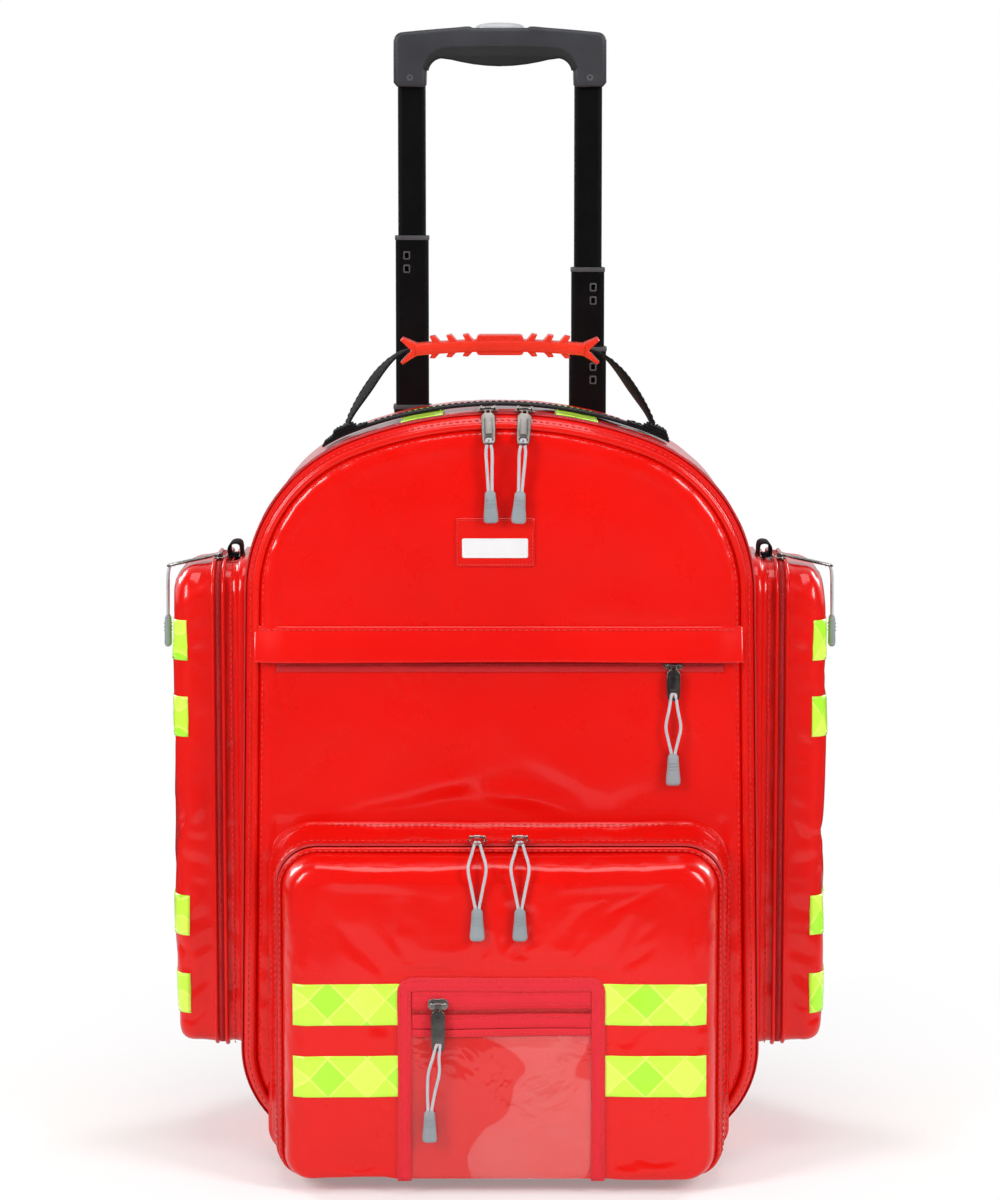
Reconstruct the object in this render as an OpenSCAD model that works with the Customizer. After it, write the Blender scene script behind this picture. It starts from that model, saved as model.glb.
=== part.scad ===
// Wheeled trauma backpack: a padded two-part bag with a front pocket, two
// side pockets, a telescopic trolley handle, wheels and a carry handle.
// X runs across the bag, -Y is the front, Z is up, and the floor is z = 0.

/* [Bag] */
// Half width of the bag at its shoulders
shoulder_half = 183; // [180:1:185]
// Half width of the bag near its base
base_half = 188; // [186:1:189]
// Height of the crown above the floor
crown_z = 547; // [547:1:552]
// Radius of the crown arc
crown_r = 300; // [290:5:310]
// Radius of the two shoulder arcs
shoulder_r = 118; // [112:1:120]
// Radius of the bottom corners
corner_r = 75; // [65:1:85]
// Back face of the bag
back_y = 88; // [84:1:88]
// Wall thickness of the padded shell
wall = 3; // [2.5:0.25:4]

/* [Front pocket] */
// Half width of the pocket where it joins the lid
pocket_half = 160; // [150:1:162]
// Height of the pocket's top edge at the lid
pocket_top = 247; // [235:1:247]
// Radius of the pocket's top corners
pocket_r = 42; // [30:1:50]

/* [Side pockets] */
// Half depth of a side pocket
side_half = 60; // [50:1:64]
// Height of a side pocket's top
side_top = 436; // [430:1:436]
// Outer face of a side pocket, from the middle of the bag
side_out = 236.5; // [232:0.5:237]

/* [Trolley] */
// Distance of each tube from the middle
tube_x = 66.5; // [64:0.5:70]
// Depth of the tubes' centre line
tube_y = 102; // [102:0.5:103]
// Height of the grip's flat top with the handle half out
grip_top = 824; // [824:1:826]

/* [Wheels] */
// Wheel radius
wheel_r = 32; // [30:0.5:32]
// Distance of each wheel's middle from the bag's middle
wheel_x = 121; // [119:0.5:123]
// Depth of the wheel axles
wheel_y = 126; // [126:0.5:128]
// Axle radius
axle_r = 4; // [3:0.5:5]

/* [Hidden] */
$fn = 48;

RED = [0.90, 0.04, 0.02];
CRIMSON = [0.85, 0.05, 0.13];
LIME = [0.78, 0.96, 0.20];
BLACK = [0.04, 0.04, 0.045];
GREY = [0.62, 0.65, 0.68];
METAL = [0.55, 0.55, 0.56];
CHARCOAL = [0.20, 0.20, 0.22];
CLEAR_PINK = [0.95, 0.80, 0.80, 0.5];

gap = 0.2;                         // between a surface and what is laid on it
under_z = 9;                       // underside of the bag
zip_y = -80;                       // plane of the main zip
lid_y = -95;                       // front face of the lid
flap_zip_z = 368;                  // height of the zip under the lid's flap
tape_w = 29.5;                     // width of the lime tapes on the pockets

pocket_zip_y = -140.3;             // plane of the front pocket's zip
pocket_y = -170;                   // front face of the front pocket
pocket_floor = 8.6;                // underside of the front pocket
pocket_foot_r = 20;                // radius of its bottom corners
window_x = 1;                      // middle of the pocket's window

side_x = base_half + 0.8;          // inner face of a side pocket
side_zip_x = 204;                  // plane of a side pocket's zip
side_floor = 80;                   // underside of a side pocket
side_r = 25;                       // radius of its top corners
side_foot_r = 14;                  // radius of its bottom corners

frame_front = back_y + 0.3;        // front of the parts fixed to the bag's back
plate_back = 91.3;                 // back of the fixing plates
frame_back = 115.2;                // back of the blocks round the tubes
outer_half = [15.5, 10.5];         // half width and half depth of the outer tubes
inner_half = [10.5, 6];            // and of the inner tubes
lock_z = 372;                      // height of the lock pins
wheel_z = wheel_r;                 // height of the axles

crown_c = crown_z - crown_r;       // height of the crown arc's centre
shoulder_x = shoulder_half - shoulder_r;
shoulder_z = crown_c + sqrt(pow(crown_r - shoulder_r, 2) - pow(shoulder_x, 2));
// angle at which a shoulder arc meets the crown arc
meet_angle = atan2(shoulder_z - crown_c, shoulder_x);

// Screws in the back of the bag: [x, z]
screw_places = [[-155, 30], [155, 30], [-155, 88], [155, 88], [0, 88], [-99, 507], [99, 507]];

// ---- plane outlines -------------------------------------------------------
function arc(x, y, r, from, to, steps) = [
  for (i = [0:steps])
    let (angle = from + (to - from) * i / steps)
    [x + r * cos(angle), y + r * sin(angle)]];

// outline of the bag seen from the front, moved in by inset
function arch(inset) =
  let (shoulder = shoulder_r - inset, corner = corner_r - inset,
       corner_x = base_half - corner_r, corner_z = under_z + corner_r)
  concat(
    arc(0, crown_c, crown_r - inset, meet_angle, 180 - meet_angle, 14),
    arc(-shoulder_x, shoulder_z, shoulder, 180 - meet_angle + 8, 180, 8),
    arc(-corner_x, corner_z, corner, 180, 270, 8),
    arc(corner_x, corner_z, corner, 270, 360, 8),
    arc(shoulder_x, shoulder_z, shoulder, 0, meet_angle - 8, 8));

// rounded rectangle with its own top and bottom radii
function rrect(x0, x1, y0, y1, top_r, foot_r, steps = 6) = concat(
  arc(x1 - top_r, y1 - top_r, top_r, 0, 90, steps),
  arc(x0 + top_r, y1 - top_r, top_r, 90, 180, steps),
  arc(x0 + foot_r, y0 + foot_r, foot_r, 180, 270, steps),
  arc(x1 - foot_r, y0 + foot_r, foot_r, 270, 360, steps));

function normal_at(points, i) =
  let (along = points[min(i + 1, len(points) - 1)] - points[max(i - 1, 0)])
  [-along[1], along[0]] / norm(along);
// strip of the given thickness that follows the points
function band(points, thickness) = concat(
  [for (i = [0:len(points) - 1]) points[i] + normal_at(points, i) * thickness / 2],
  [for (i = [len(points) - 1:-1:0]) points[i] - normal_at(points, i) * thickness / 2]);

// points mirrored across x = 0, in reverse order
function mirrored(points) =
  [for (i = [len(points) - 1:-1:0]) [-points[i][0], points[i][1]]];
function raised(points, z) = [for (point = points) point + [0, z]];

// ---- solids from outlines -------------------------------------------------
// (x, z) outline extruded from y0 to y1
module slab(y0, y1) {
  translate([0, y1, 0]) rotate([90, 0, 0]) linear_extrude(y1 - y0) children();
}
// (y, z) outline extruded from x0 to x1
module xslab(x0, x1) {
  translate([x0, 0, 0]) rotate([90, 0, 90]) linear_extrude(x1 - x0) children();
}
module ring(outer, inner) {
  difference() {
    polygon(outer);
    polygon(inner);
  }
}
module box(low, high) { translate(low) cube(high - low); }
// side is -1 for the left (-X) and 1 for the right
module sided(side) { if (side > 0) children(); else mirror([1, 0, 0]) children(); }
module both_sides() { for (side = [-1, 1]) sided(side) children(); }
// cylinder that runs towards +X
module xrod(start, length, r) { translate(start) rotate([0, 90, 0]) cylinder(h = length, r = r); }
// cylinder that runs forward, towards -Y, from y on the Y axis
module forward_rod(y, length, r) {
  translate([0, y, 0]) rotate([90, 0, 0]) cylinder(h = length, r = r, $fn = 24);
}
// rod with an eight-sided section between two points
module rod(start, end, r) {
  along = end - start;
  length = norm(along);
  translate(start) rotate([0, acos(along[2] / length), atan2(along[1], along[0])])
    cylinder(h = length, r = r, $fn = 8);
}

// ---- zip slider and pull --------------------------------------------------
slider_half = [[-7, -2.6], [-4.5, -4.2], [4.5, -4.2], [7, -2.6]];   // half outline, [x, y]
// Slider on a zip that runs along X, outward side +Z, bridge pin along X.
// pin_y moves the pin along Y from the zip, pin_z is its height.
module slider_body(pin_y = 0, pin_z = 3.3) {
  linear_extrude(1.6)
    polygon(concat(slider_half, [for (i = [3:-1:0]) [slider_half[i][0], -slider_half[i][1]]]));
  for (side = [-1, 1])
    box([side * 4.7 - 0.9, pin_y - 1.5, 1.5], [side * 4.7 + 0.9, 1.5, 4.4]);
  xrod([-5, pin_y, pin_z], 10, 0.9, $fn = 24);
}
// Pull made of a flat tab, a cord loop and a moulded end.
// hinge, tab_end, bend (of the cord) and cord_end are [y, z].
// shift moves the lower part sideways, spread is half the loop's width.
module pull(hinge, tab_end, bend, cord_end, shift = 0, spread = 1.9) {
  tab = tab_end - hinge;
  length = norm(tab);
  cord_r = 1.2;
  end_z = cord_end[1];
  translate([0, hinge[0], hinge[1]]) rotate([atan2(tab[0], -tab[1]), 0, 0]) difference() {
    union() {
      rotate([0, 90, 0]) cylinder(h = 5, r = 1.6, center = true, $fn = 24);
      box([-2.5, -0.8, -6], [2.5, 0.8, -1.2]);
      slab(-0.8, 0.8) ring(
        rrect(-5, 5, -length - 3, -5, 2, 3, 3),
        rrect(-3, 3, -length - 1, -length + 3, 1, 1.5, 3));
    }
    rotate([0, 90, 0]) cylinder(h = 8, r = 1.0, center = true, $fn = 24);
  }
  for (side = [-1, 1]) {
    bend_x = side * spread + shift * 0.5;
    rod([side * spread * 0.6 + shift * 0.3, tab_end[0], tab_end[1] + 0.6],
      [bend_x, bend[0], bend[1]], cord_r);
    rod([bend_x, bend[0], bend[1] + 0.6], [side * 1.6 + shift, cord_end[0], end_z - 2], cord_r);
  }
  translate([shift, cord_end[0] + 2.6, 0]) rotate([90, 0, 0]) linear_extrude(5.2)
    polygon([[-4, end_z], [4, end_z], [5.4, end_z - 18], [3.6, end_z - 21.5],
      [-3.6, end_z - 21.5], [-5.4, end_z - 18]]);
}

// ---- the padded bag -------------------------------------------------------
module at_screws() {
  for (place = screw_places) translate([place[0], 0, place[1]]) children();
}
module screw_holes() { at_screws() forward_rod(98, 24, 2.15); }
module frame_screws() {
  color(METAL) at_screws() {
    forward_rod(93.6, 2.2, 4);     // head
    forward_rod(92, 13, 2);        // shank
  }
}
module main_shell() {
  color(RED) difference() {
    union() {
      slab(zip_y + 4, back_y) ring(arch(0), arch(wall));
      slab(back_y - wall, back_y) polygon(arch(0.5));
    }
    screw_holes();
  }
}
module back_board() {
  color(BLACK) difference() {
    slab(back_y - wall - 3.5, back_y - wall - 0.4) polygon(arch(7));
    screw_holes();
  }
}

// half of the main zip, round the bag from z = 60 up
module main_tape(y0, y1) {
  slab(y0, y1) difference() {
    polygon(arch(0.8));
    polygon(arch(2.8));
    translate([-300, -10]) square([600, 70]);
  }
}
module rear_zip_tapes() {
  tape_top = side_top - 0.5;
  color(CRIMSON) {
    main_tape(zip_y + 0.1, zip_y + 3.8);
    both_sides() xslab(side_zip_x - 0.9, side_zip_x - gap) difference() {
      side_outline(tape_top, side_r - 1, 0.5);
      side_outline(tape_top, side_r - 3, 4);
      translate([-100, 0]) square([200, 110]);
    }
  }
}

// band over the top of the bag, between two insets of its outline
module top_band(y0, y1, outer, inner, x0, x1) {
  slab(y0, y1) intersection() {
    ring(arch(outer), arch(inner));
    translate([x0, 420]) square([x1 - x0, 180]);
  }
}
module black_webbing() {
  loop_in = side_x + 0.4;
  loop_out = 199.2;
  loop_t = 2;
  color(BLACK) {
    top_band(-32.5, -7.5, -2.8, -1.1, -128, 122);
    both_sides() {
      // loop at the top of the side pocket
      difference() {
        box([loop_in, -22, side_top + 0.5], [loop_out, 6, side_top + 10]);
        box([loop_in + loop_t, -30, side_top + 0.5 + loop_t],
          [loop_out - loop_t, 14, side_top + 10 - loop_t]);
      }
      // lower end of the shoulder strap
      xslab(92, 117) polygon(band([[151, 172], [140, 140], [118, 112]], 2));
    }
  }
}
module top_tapes() {
  color(LIME) for (x = [-71, 40]) top_band(-70, 30, -0.9, -0.3, x, x + 30);
}

// ---- side pockets ---------------------------------------------------------
module side_outline(top, r, inset = 0) {
  polygon(rrect(inset - side_half, side_half - inset, side_floor + inset, top - inset,
    r, side_foot_r - inset));
}
module side_wall(x0, x1, top) {
  xslab(x0, x1) difference() {
    side_outline(top, side_r);
    side_outline(top, side_r - 1, 2.5);
  }
}
module side_base(side) {
  color(RED) sided(side) {
    xslab(side_x, side_x + 2) side_outline(side_top, side_r);
    side_wall(side_x + 1.9, side_zip_x - 1.1, side_top);
  }
}
module side_lid(side) {
  color(RED) sided(side) {
    side_wall(side_zip_x + 1, side_out - 2.4, side_top - 7);
    xslab(side_out - 2.5, side_out) side_outline(side_top - 7.5, side_r, 0.5);
  }
}
module side_tapes(side) {
  color(LIME) sided(side) xslab(side_out + gap, side_out + 0.8)
    for (z = [104, 162, 309, 365])
      translate([1 - side_half, z]) square([2 * side_half - 2, tape_w]);
}

// ---- back pad and shoulder straps -----------------------------------------
module back_pad() {
  color(BLACK) slab(frame_back + 0.3, 128) polygon(rrect(-126, 126, 128, 524, 60, 30));
}
// bowed line of a shoulder strap from top to bottom, [y, z]
strap_path = [for (i = [0:10]) let (t = i / 10) [136 + 26 * sin(180 * t) + 13 * t, 508 - 316 * t]];
module shoulder_straps() { color(BLACK) both_sides() xslab(72, 136) polygon(band(strap_path, 12)); }
module strap_buckles() {
  color(BLACK) both_sides() translate([104.5, 152, 186]) rotate([-14, 0, 0]) difference() {
    box([-18, 8, -14], [18, 12, 12]);
    for (z = [-9, 1]) box([-13.5, 7, z], [13.5, 13, z + 4]);
  }
}

// ---- lid of the main compartment ------------------------------------------
// Steps of the lid's rim: [front y, back y, outer inset, inner inset]
lid_steps = [[-85.6, -84, 4.5, 10.5], [-88, -85.5, 8, 13], [-91.1, -87.9, 10.5, 15.5]];
module lid_panel() {
  color(RED) {
    for (step = lid_steps) slab(step[0], step[1]) ring(arch(step[2]), arch(step[3]));
    slab(lid_y, -91) polygon(arch(13));
  }
}
module zip_flap() {
  front = lid_y - 7.6;
  half = 168;
  top = 394;
  color(RED) {
    box([-half, front, flap_zip_z + 1.2], [half, lid_y - 5.8, top]);
    box([-half, front, top - 6], [half, lid_y - gap, top]);
  }
}
// half of the front pocket's zip, from z = 40 up
module pocket_tape(y0, y1, inset) {
  half = pocket_half - inset;
  floor_z = pocket_floor + 0.5;
  top = pocket_top - inset;
  width = 2;
  slab(y0, y1) difference() {
    polygon(rrect(-half, half, floor_z, top, pocket_r, pocket_foot_r));
    polygon(rrect(width - half, half - width, floor_z + width, top - width,
      pocket_r - width, pocket_foot_r - width));
    translate([-300, 0]) square([600, 40]);
  }
}
module lid_zip_tapes() {
  color(CRIMSON) {
    main_tape(zip_y - 3.8, zip_y - 0.1);
    pocket_tape(pocket_zip_y + gap, pocket_zip_y + 3.1, 0.5);
    box([-160, lid_y - 0.9, flap_zip_z - 7], [160, lid_y - gap, flap_zip_z + 7]);
  }
}

// ---- front pocket ---------------------------------------------------------
module pocket_outline(inset, r) {
  half = pocket_half - inset;
  polygon(rrect(-half, half, pocket_floor, pocket_top - inset, r, pocket_foot_r));
}
module pocket_ring(y0, y1, inset, thickness) {
  half = pocket_half - inset - thickness;
  slab(y0, y1) difference() {
    pocket_outline(inset, pocket_r);
    polygon(rrect(-half, half, pocket_floor + thickness, pocket_top - inset - thickness,
      pocket_r - thickness, pocket_foot_r - thickness));
  }
}
module pocket_base() { color(RED) pocket_ring(pocket_zip_y + 3.3, lid_y - 0.3, 0, 2.5); }
module pocket_front() {
  color(RED) {
    pocket_ring(-158, pocket_zip_y - 3.6, 5, 4);
    pocket_ring(-167, -157.9, 8, 3.5);
    slab(pocket_y, -166.9) pocket_outline(11, 32);
  }
}
// box laid on the pocket's front, centred on the window
module window_box(half, z0, z1, front, back = gap) {
  box([window_x - half, pocket_y - front, z0], [window_x + half, pocket_y - back, z1]);
}
module pocket_zip_tapes() {
  color(CRIMSON) {
    pocket_tape(pocket_zip_y - 3.4, pocket_zip_y - 0.3, 4);
    // zip above the window: two tapes and the strip between them
    window_box(63, 117.2, 131, 1.6);
    window_box(63, 133, 146.6, 1.6);
    window_box(61, 131.1, 132.9, 2.0, 0.6);
  }
}
module window_sheet() { color(CLEAR_PINK) window_box(62.6, 12, 117, 0.9); }
module window_binding() {
  half = 73;
  opening = 63.2;
  color(CRIMSON) slab(pocket_y - 2.4, pocket_y - gap) difference() {
    polygon(rrect(window_x - half, window_x + half, 10, 156, 3, 2));
    translate([window_x - opening, 0]) square([2 * opening, 146.8]);
  }
}
module pocket_tapes() {
  color(LIME) both_sides() for (z = [70.5, 122])
    box([76, pocket_y - 0.8, z], [144, pocket_y - gap, z + tape_w]);
}

// ---- trolley --------------------------------------------------------------
// half is a tube's [half width, half depth]
function tube_section(half, r) = rrect(-half[0], half[0], -half[1], half[1], r, r, 4);
module tube(side, half, bottom, top) {
  thickness = [1.2, 1.2];
  translate([side * tube_x, tube_y, bottom]) linear_extrude(top - bottom)
    ring(tube_section(half, 3), tube_section(half - thickness, 1.8));
}
module tube_holes(half, bottom, height) {
  for (side = [-1, 1]) translate([side * tube_x, tube_y, bottom])
    linear_extrude(height) polygon(tube_section(half + [0.2, 0.2], 3));
}
module outer_tubes() { color(BLACK) for (side = [-1, 1]) tube(side, outer_half, 45, 520); }
module lower_tube(side, top) { color(BLACK) tube(side, [14, 9], top - 400, top); }
module mid_tube(side, top) { color(BLACK) tube(side, [12.5, 7.5], top - 420, top); }
// cylinder for each lock pin or its hole, running back from offset behind the tube's middle
module lock_rods(offset, length, r) {
  for (side = [-1, 1]) translate([side * tube_x, tube_y + offset, lock_z])
    rotate([-90, 0, 0]) cylinder(h = length, r = r, $fn = 24);
}
module inner_tubes() {
  color(BLACK) difference() {
    for (side = [-1, 1]) tube(side, inner_half, 360, grip_top - 24);
    lock_rods(3, 6, 2.1);
  }
}
module lock_pins() { color(METAL) lock_rods(-1.7, 7.6, 2); }
module tube_bracket() {
  bottom = 496;
  top = 518;
  color(CHARCOAL) difference() {
    union() {
      box([-88, frame_front, bottom], [88, frame_back, top]);
      box([-108, frame_front, bottom], [108, plate_back, top]);
    }
    tube_holes(outer_half, 490, 40);
    box([-46, 91.5, 490], [46, 120, 530]);
    screw_holes();
  }
}

// Left half of the grip's outline, [x, z] from its flat top
grip_left = concat(
  arc(-66, -14, 14, 90, 180, 6),
  [[-80, -43], [-78, -45], [-57, -45], [-55.5, -43.5], [-55.5, -36]],
  arc(-42, -34, 12, 180, 90, 5),
  [[-20, -22.5]]);
grip_outline = raised(concat(grip_left, [[0, -23]], mirrored(grip_left)), grip_top);
module handle_grip() {
  color(CHARCOAL) difference() {
    slab(tube_y - 12.5, tube_y + 12.5) polygon(grip_outline);
    tube_holes(inner_half, grip_top - 50, 26.2);
    for (side = [-1, 1])
      translate([side * tube_x, tube_y, grip_top - 28]) cylinder(h = 12, r = 3, $fn = 24);
    // room for the cross bar, then for the button
    box([-71, tube_y - 4.5, grip_top - 20], [71, tube_y + 4.5, grip_top - 11.8]);
    translate([0, tube_y, grip_top - 12]) linear_extrude(20)
      polygon(rrect(-18.4, 18.4, -7.4, 7.4, 7.3, 7.3));
  }
}
module handle_button() {
  color(GREY) {
    translate([0, tube_y, grip_top - 8]) linear_extrude(11.5)
      polygon(rrect(-18, 18, -7, 7, 6.9, 6.9));
    box([-5, tube_y - 3, grip_top - 12.1], [5, tube_y + 3, grip_top - 7.9]);
  }
}
module push_rods() {
  bottom = 380;
  color(METAL) {
    box([-69, tube_y - 3, grip_top - 16.3], [69, tube_y + 3, grip_top - 12.3]);
    for (side = [-1, 1]) translate([side * tube_x, tube_y, bottom])
      cylinder(h = grip_top - 15 - bottom, r = 2.4, $fn = 24);
  }
}
// bowed leaf under the cross bar
module button_spring() {
  leaf = [for (i = [0:8]) [-16 + 4 * i, grip_top - 19.4 + 2.5 * sin(180 * i / 8)]];
  color(METAL) slab(tube_y - 3, tube_y + 3) polygon(band(leaf, 0.5));
}

// ---- base and wheels ------------------------------------------------------
// Cheek beside a wheel, [y, z]
cheek = [[91, 12], [wheel_y, 20], [wheel_y + 9, 26], [wheel_y + 10, 38],
  [wheel_y - 5, 66], [wheel_y - 12, 70], [91, 72]];
// Guard over a wheel, [y, z]
guard = concat(arc(wheel_y, wheel_z, wheel_r + 6, 70, 168, 8),
  arc(wheel_y, wheel_z, wheel_r + 3, 168, 70, 8));
module base_tray() {
  color(BLACK) difference() {
    union() {
      // floor plate the bag rests on, flat underneath
      linear_extrude(8.6) polygon(rrect(-120, 120, -62, plate_back, 3, 18));
      slab(frame_front, plate_back) polygon(rrect(-168, 168, 6, 104, 24, 30));
      // sockets for the outer tubes
      for (side = [-1, 1])
        box([side * tube_x - 19, 91, 38], [side * tube_x + 19, frame_back, 62]);
      both_sides() {
        for (x = [wheel_x - 15, wheel_x + 12]) xslab(x, x + 3) polygon(cheek);
        xslab(wheel_x - 15, wheel_x + 15) polygon(guard);
      }
    }
    tube_holes(outer_half, 44.5, 40);
    both_sides() xrod([wheel_x - 20, wheel_y, wheel_z], 40, axle_r + 0.04);
    screw_holes();
  }
}
module wheel_axles() {
  color(METAL) both_sides() {
    xrod([wheel_x - 16, wheel_y, wheel_z], 32, axle_r);
    for (x = [-17.5, 15.3]) xrod([wheel_x + x, wheel_y, wheel_z], 2.2, axle_r + 2);
  }
}
module wheel_place(side) {
  sided(side) translate([wheel_x, wheel_y, wheel_z]) rotate([0, 90, 0]) children();
}
// Wheel sections, [distance from the axle's line, distance along it]
tyre_section = [[24.1, -11], [wheel_r - 3, -11], [wheel_r - 0.8, -9.5], [wheel_r, -6],
  [wheel_r, 6], [wheel_r - 0.8, 9.5], [wheel_r - 3, 11], [24.1, 11]];
bore_r = axle_r + 0.08;
hub_section = [[bore_r, -11.6], [9, -11.6], [9, -3], [20, -3], [20, -10], [24, -10],
  [24, 10], [20, 10], [20, 3], [9, 3], [9, 11.6], [bore_r, 11.6]];
module tyre(side) { color(BLACK) wheel_place(side) rotate_extrude() polygon(tyre_section); }
module hub(side) {
  color(CHARCOAL) wheel_place(side) difference() {
    rotate_extrude() polygon(hub_section);
    for (angle = [0:60:300]) rotate([0, 0, angle])
      translate([14.5, 0, -5]) cylinder(h = 10, r = 3.4, $fn = 24);
  }
}

// ---- carry handle ---------------------------------------------------------
handle_y = -20;                    // middle of the handle's width
handle_z = crown_z - 14;           // height its paths are measured from
grip_half = 11;                    // half width of the carry grip
// Left end of the webbing, [x, z] from handle_z
handle_end = [[-111, 1], [-106, 12], [-97, 26], [-86, 41], [-74, 52]];
function bowed(x) = [x, 58.5 - 3 * pow(x / 62, 2)];
handle_path = raised(concat(handle_end, [for (i = [0:8]) bowed(-62 + 15.5 * i)],
  mirrored(handle_end)), handle_z);
grip_path = raised([for (i = [0:12]) bowed(-66 + 11 * i)], handle_z);
module handle_webbing() {
  color(BLACK) {
    slab(handle_y - 3, handle_y + 3) polygon(band(handle_path, 2));
    slab(handle_y - 8, handle_y + 8) intersection() {
      polygon(band(handle_path, 2));
      translate([-150, handle_z + 13]) square([300, 80]);
    }
  }
}
module grip_box(x, half, z0, z1) {
  box([x - half, handle_y - grip_half, handle_z + z0],
    [x + half, handle_y + grip_half, handle_z + z1]);
}
module carry_grip() {
  slot_end = [-80, handle_z + 47];
  slot_path = concat([slot_end], [for (point = handle_path) if (abs(point[0]) < 78) point],
    mirrored([slot_end]));
  color(RED) difference() {
    union() {
      slab(handle_y - grip_half, handle_y + grip_half) polygon(band(grip_path, 8.5));
      // ribs, then the block in the middle
      for (side = [-1, 1]) for (i = [0:3])
        grip_box(side * (22 + 12 * i), 3, 49.5 - 0.6 * i, 66.5 - 0.6 * i);
      grip_box(0, 16, 51.5, 65.5);
      // flared ends, above and below the webbing
      both_sides() for (edge = [-1, 1]) slab(handle_y - grip_half, handle_y + grip_half)
        polygon(raised([[54, -edge], [58, edge * 6], [66, edge * 10], [70, edge * 9],
          [62, -edge]], handle_z + 56));
    }
    slab(handle_y - 8.3, handle_y + 8.3) polygon(band(slot_path, 2.6));
  }
}

// ---- zip sliders ----------------------------------------------------------
main_slider_x = [-8.5, 17.5];      // left and right, measured on the crown
main_hinge = [-6.2, 3];            // [y, z] of the pull's hinge from the zip
module on_crown(x) {
  translate([0, zip_y, crown_c]) rotate([0, asin(x / crown_r), 0])
    translate([0, 0, crown_r + 0.4]) children();
}
module main_slider(i) {
  color(METAL) on_crown(main_slider_x[i]) slider_body(main_hinge[0], main_hinge[1]);
}
module main_pull(i) {
  color(GREY) on_crown(main_slider_x[i])
    pull(main_hinge, [-22, -19], [-23.2, -24], [-23.2, -56]);
}

module pocket_place(side) {
  translate([side * 15 - 1, pocket_zip_y, pocket_top + 0.4]) children();
}
module pocket_slider(side) { color(METAL) pocket_place(side) slider_body(); }
module pocket_pull(side) {
  color(GREY) pocket_place(side)
    pull([0, 3.3], [-13, 1.0], [-33.5, -9], [-34, -43], spread = 5);
}

// Sliders that face forward; each pull hinges 3.3 in front of its slider
flap_place = [124, lid_y - 1.0, flap_zip_z];
window_place = [-43.5, pocket_y - 2.6, 137.5];
module face_slider(place) { color(METAL) translate(place) rotate([90, 0, 0]) slider_body(); }
module flap_slider() { face_slider(flap_place); }
module flap_pull() {
  color(GREY) translate(flap_place - [0, 3.3, 0])
    pull([0, 0], [-0.6, -23], [-1, -42], [-1, -66], spread = 5);
}
module window_slider() { face_slider(window_place); }
module window_pull() {
  color(GREY) translate(window_place - [0, 3.3, 0])
    pull([0, 0], [-0.6, -30], [-1, -45], [-1, -77], shift = -6, spread = 3.5);
}

module side_place(side) {
  sided(side) translate([side_zip_x, -30, side_top + 0.4]) rotate([0, 0, 90]) children();
}
module side_slider(side) { color(METAL) side_place(side) slider_body(); }
module side_pull(side) {
  color(GREY) side_place(side)
    pull([0, 3.3], [-36, -4.5], [-38.5, -9], [-38.8, -43], spread = 2.2);
}

main_shell();
rear_zip_tapes();
back_board();
black_webbing();
top_tapes();
side_base(-1);  // side_base_left
side_base(1);  // side_base_right
outer_tubes();
tube_bracket();
base_tray();
wheel_axles();
back_pad();
shoulder_straps();
strap_buckles();
frame_screws();
lid_panel();
lid_zip_tapes();
zip_flap();
pocket_base();
pocket_front();
pocket_zip_tapes();
window_sheet();
window_binding();
pocket_tapes();
side_lid(-1);  // side_lid_left
side_lid(1);  // side_lid_right
side_tapes(-1);  // side_tapes_left
side_tapes(1);  // side_tapes_right
lower_tube(-1, 538);  // lower_tube_left
lower_tube(1, 582);  // lower_tube_right
mid_tube(-1, 666);  // mid_tube_left
mid_tube(1, 642);  // mid_tube_right
inner_tubes();
handle_grip();
handle_button();
push_rods();
button_spring();
lock_pins();
tyre(-1);  // tyre_left
tyre(1);  // tyre_right
hub(-1);  // hub_left
hub(1);  // hub_right
handle_webbing();
carry_grip();
main_slider(0);  // main_slider_left
main_slider(1);  // main_slider_right
main_pull(0);  // main_pull_left
main_pull(1);  // main_pull_right
pocket_slider(-1);  // pocket_slider_left
pocket_slider(1);  // pocket_slider_right
pocket_pull(-1);  // pocket_pull_left
pocket_pull(1);  // pocket_pull_right
flap_slider();
flap_pull();
window_slider();
window_pull();
side_slider(-1);  // side_slider_left
side_slider(1);  // side_slider_right
side_pull(-1);  // side_pull_left
side_pull(1);  // side_pull_right
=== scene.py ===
"""Red wheeled backpack with a telescopic trolley handle.

The bag stands on z = 0 and faces -Y; +X is on the right seen from the front. The trolley
tubes, back pad and shoulder straps are on the +Y side. Sizes are in millimetres and are
turned into metres when a mesh is made. Colours are linear RGB.
"""
import bpy
import bmesh
import math
import numpy as np
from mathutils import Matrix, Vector
from mathutils.bvhtree import BVHTree

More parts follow.
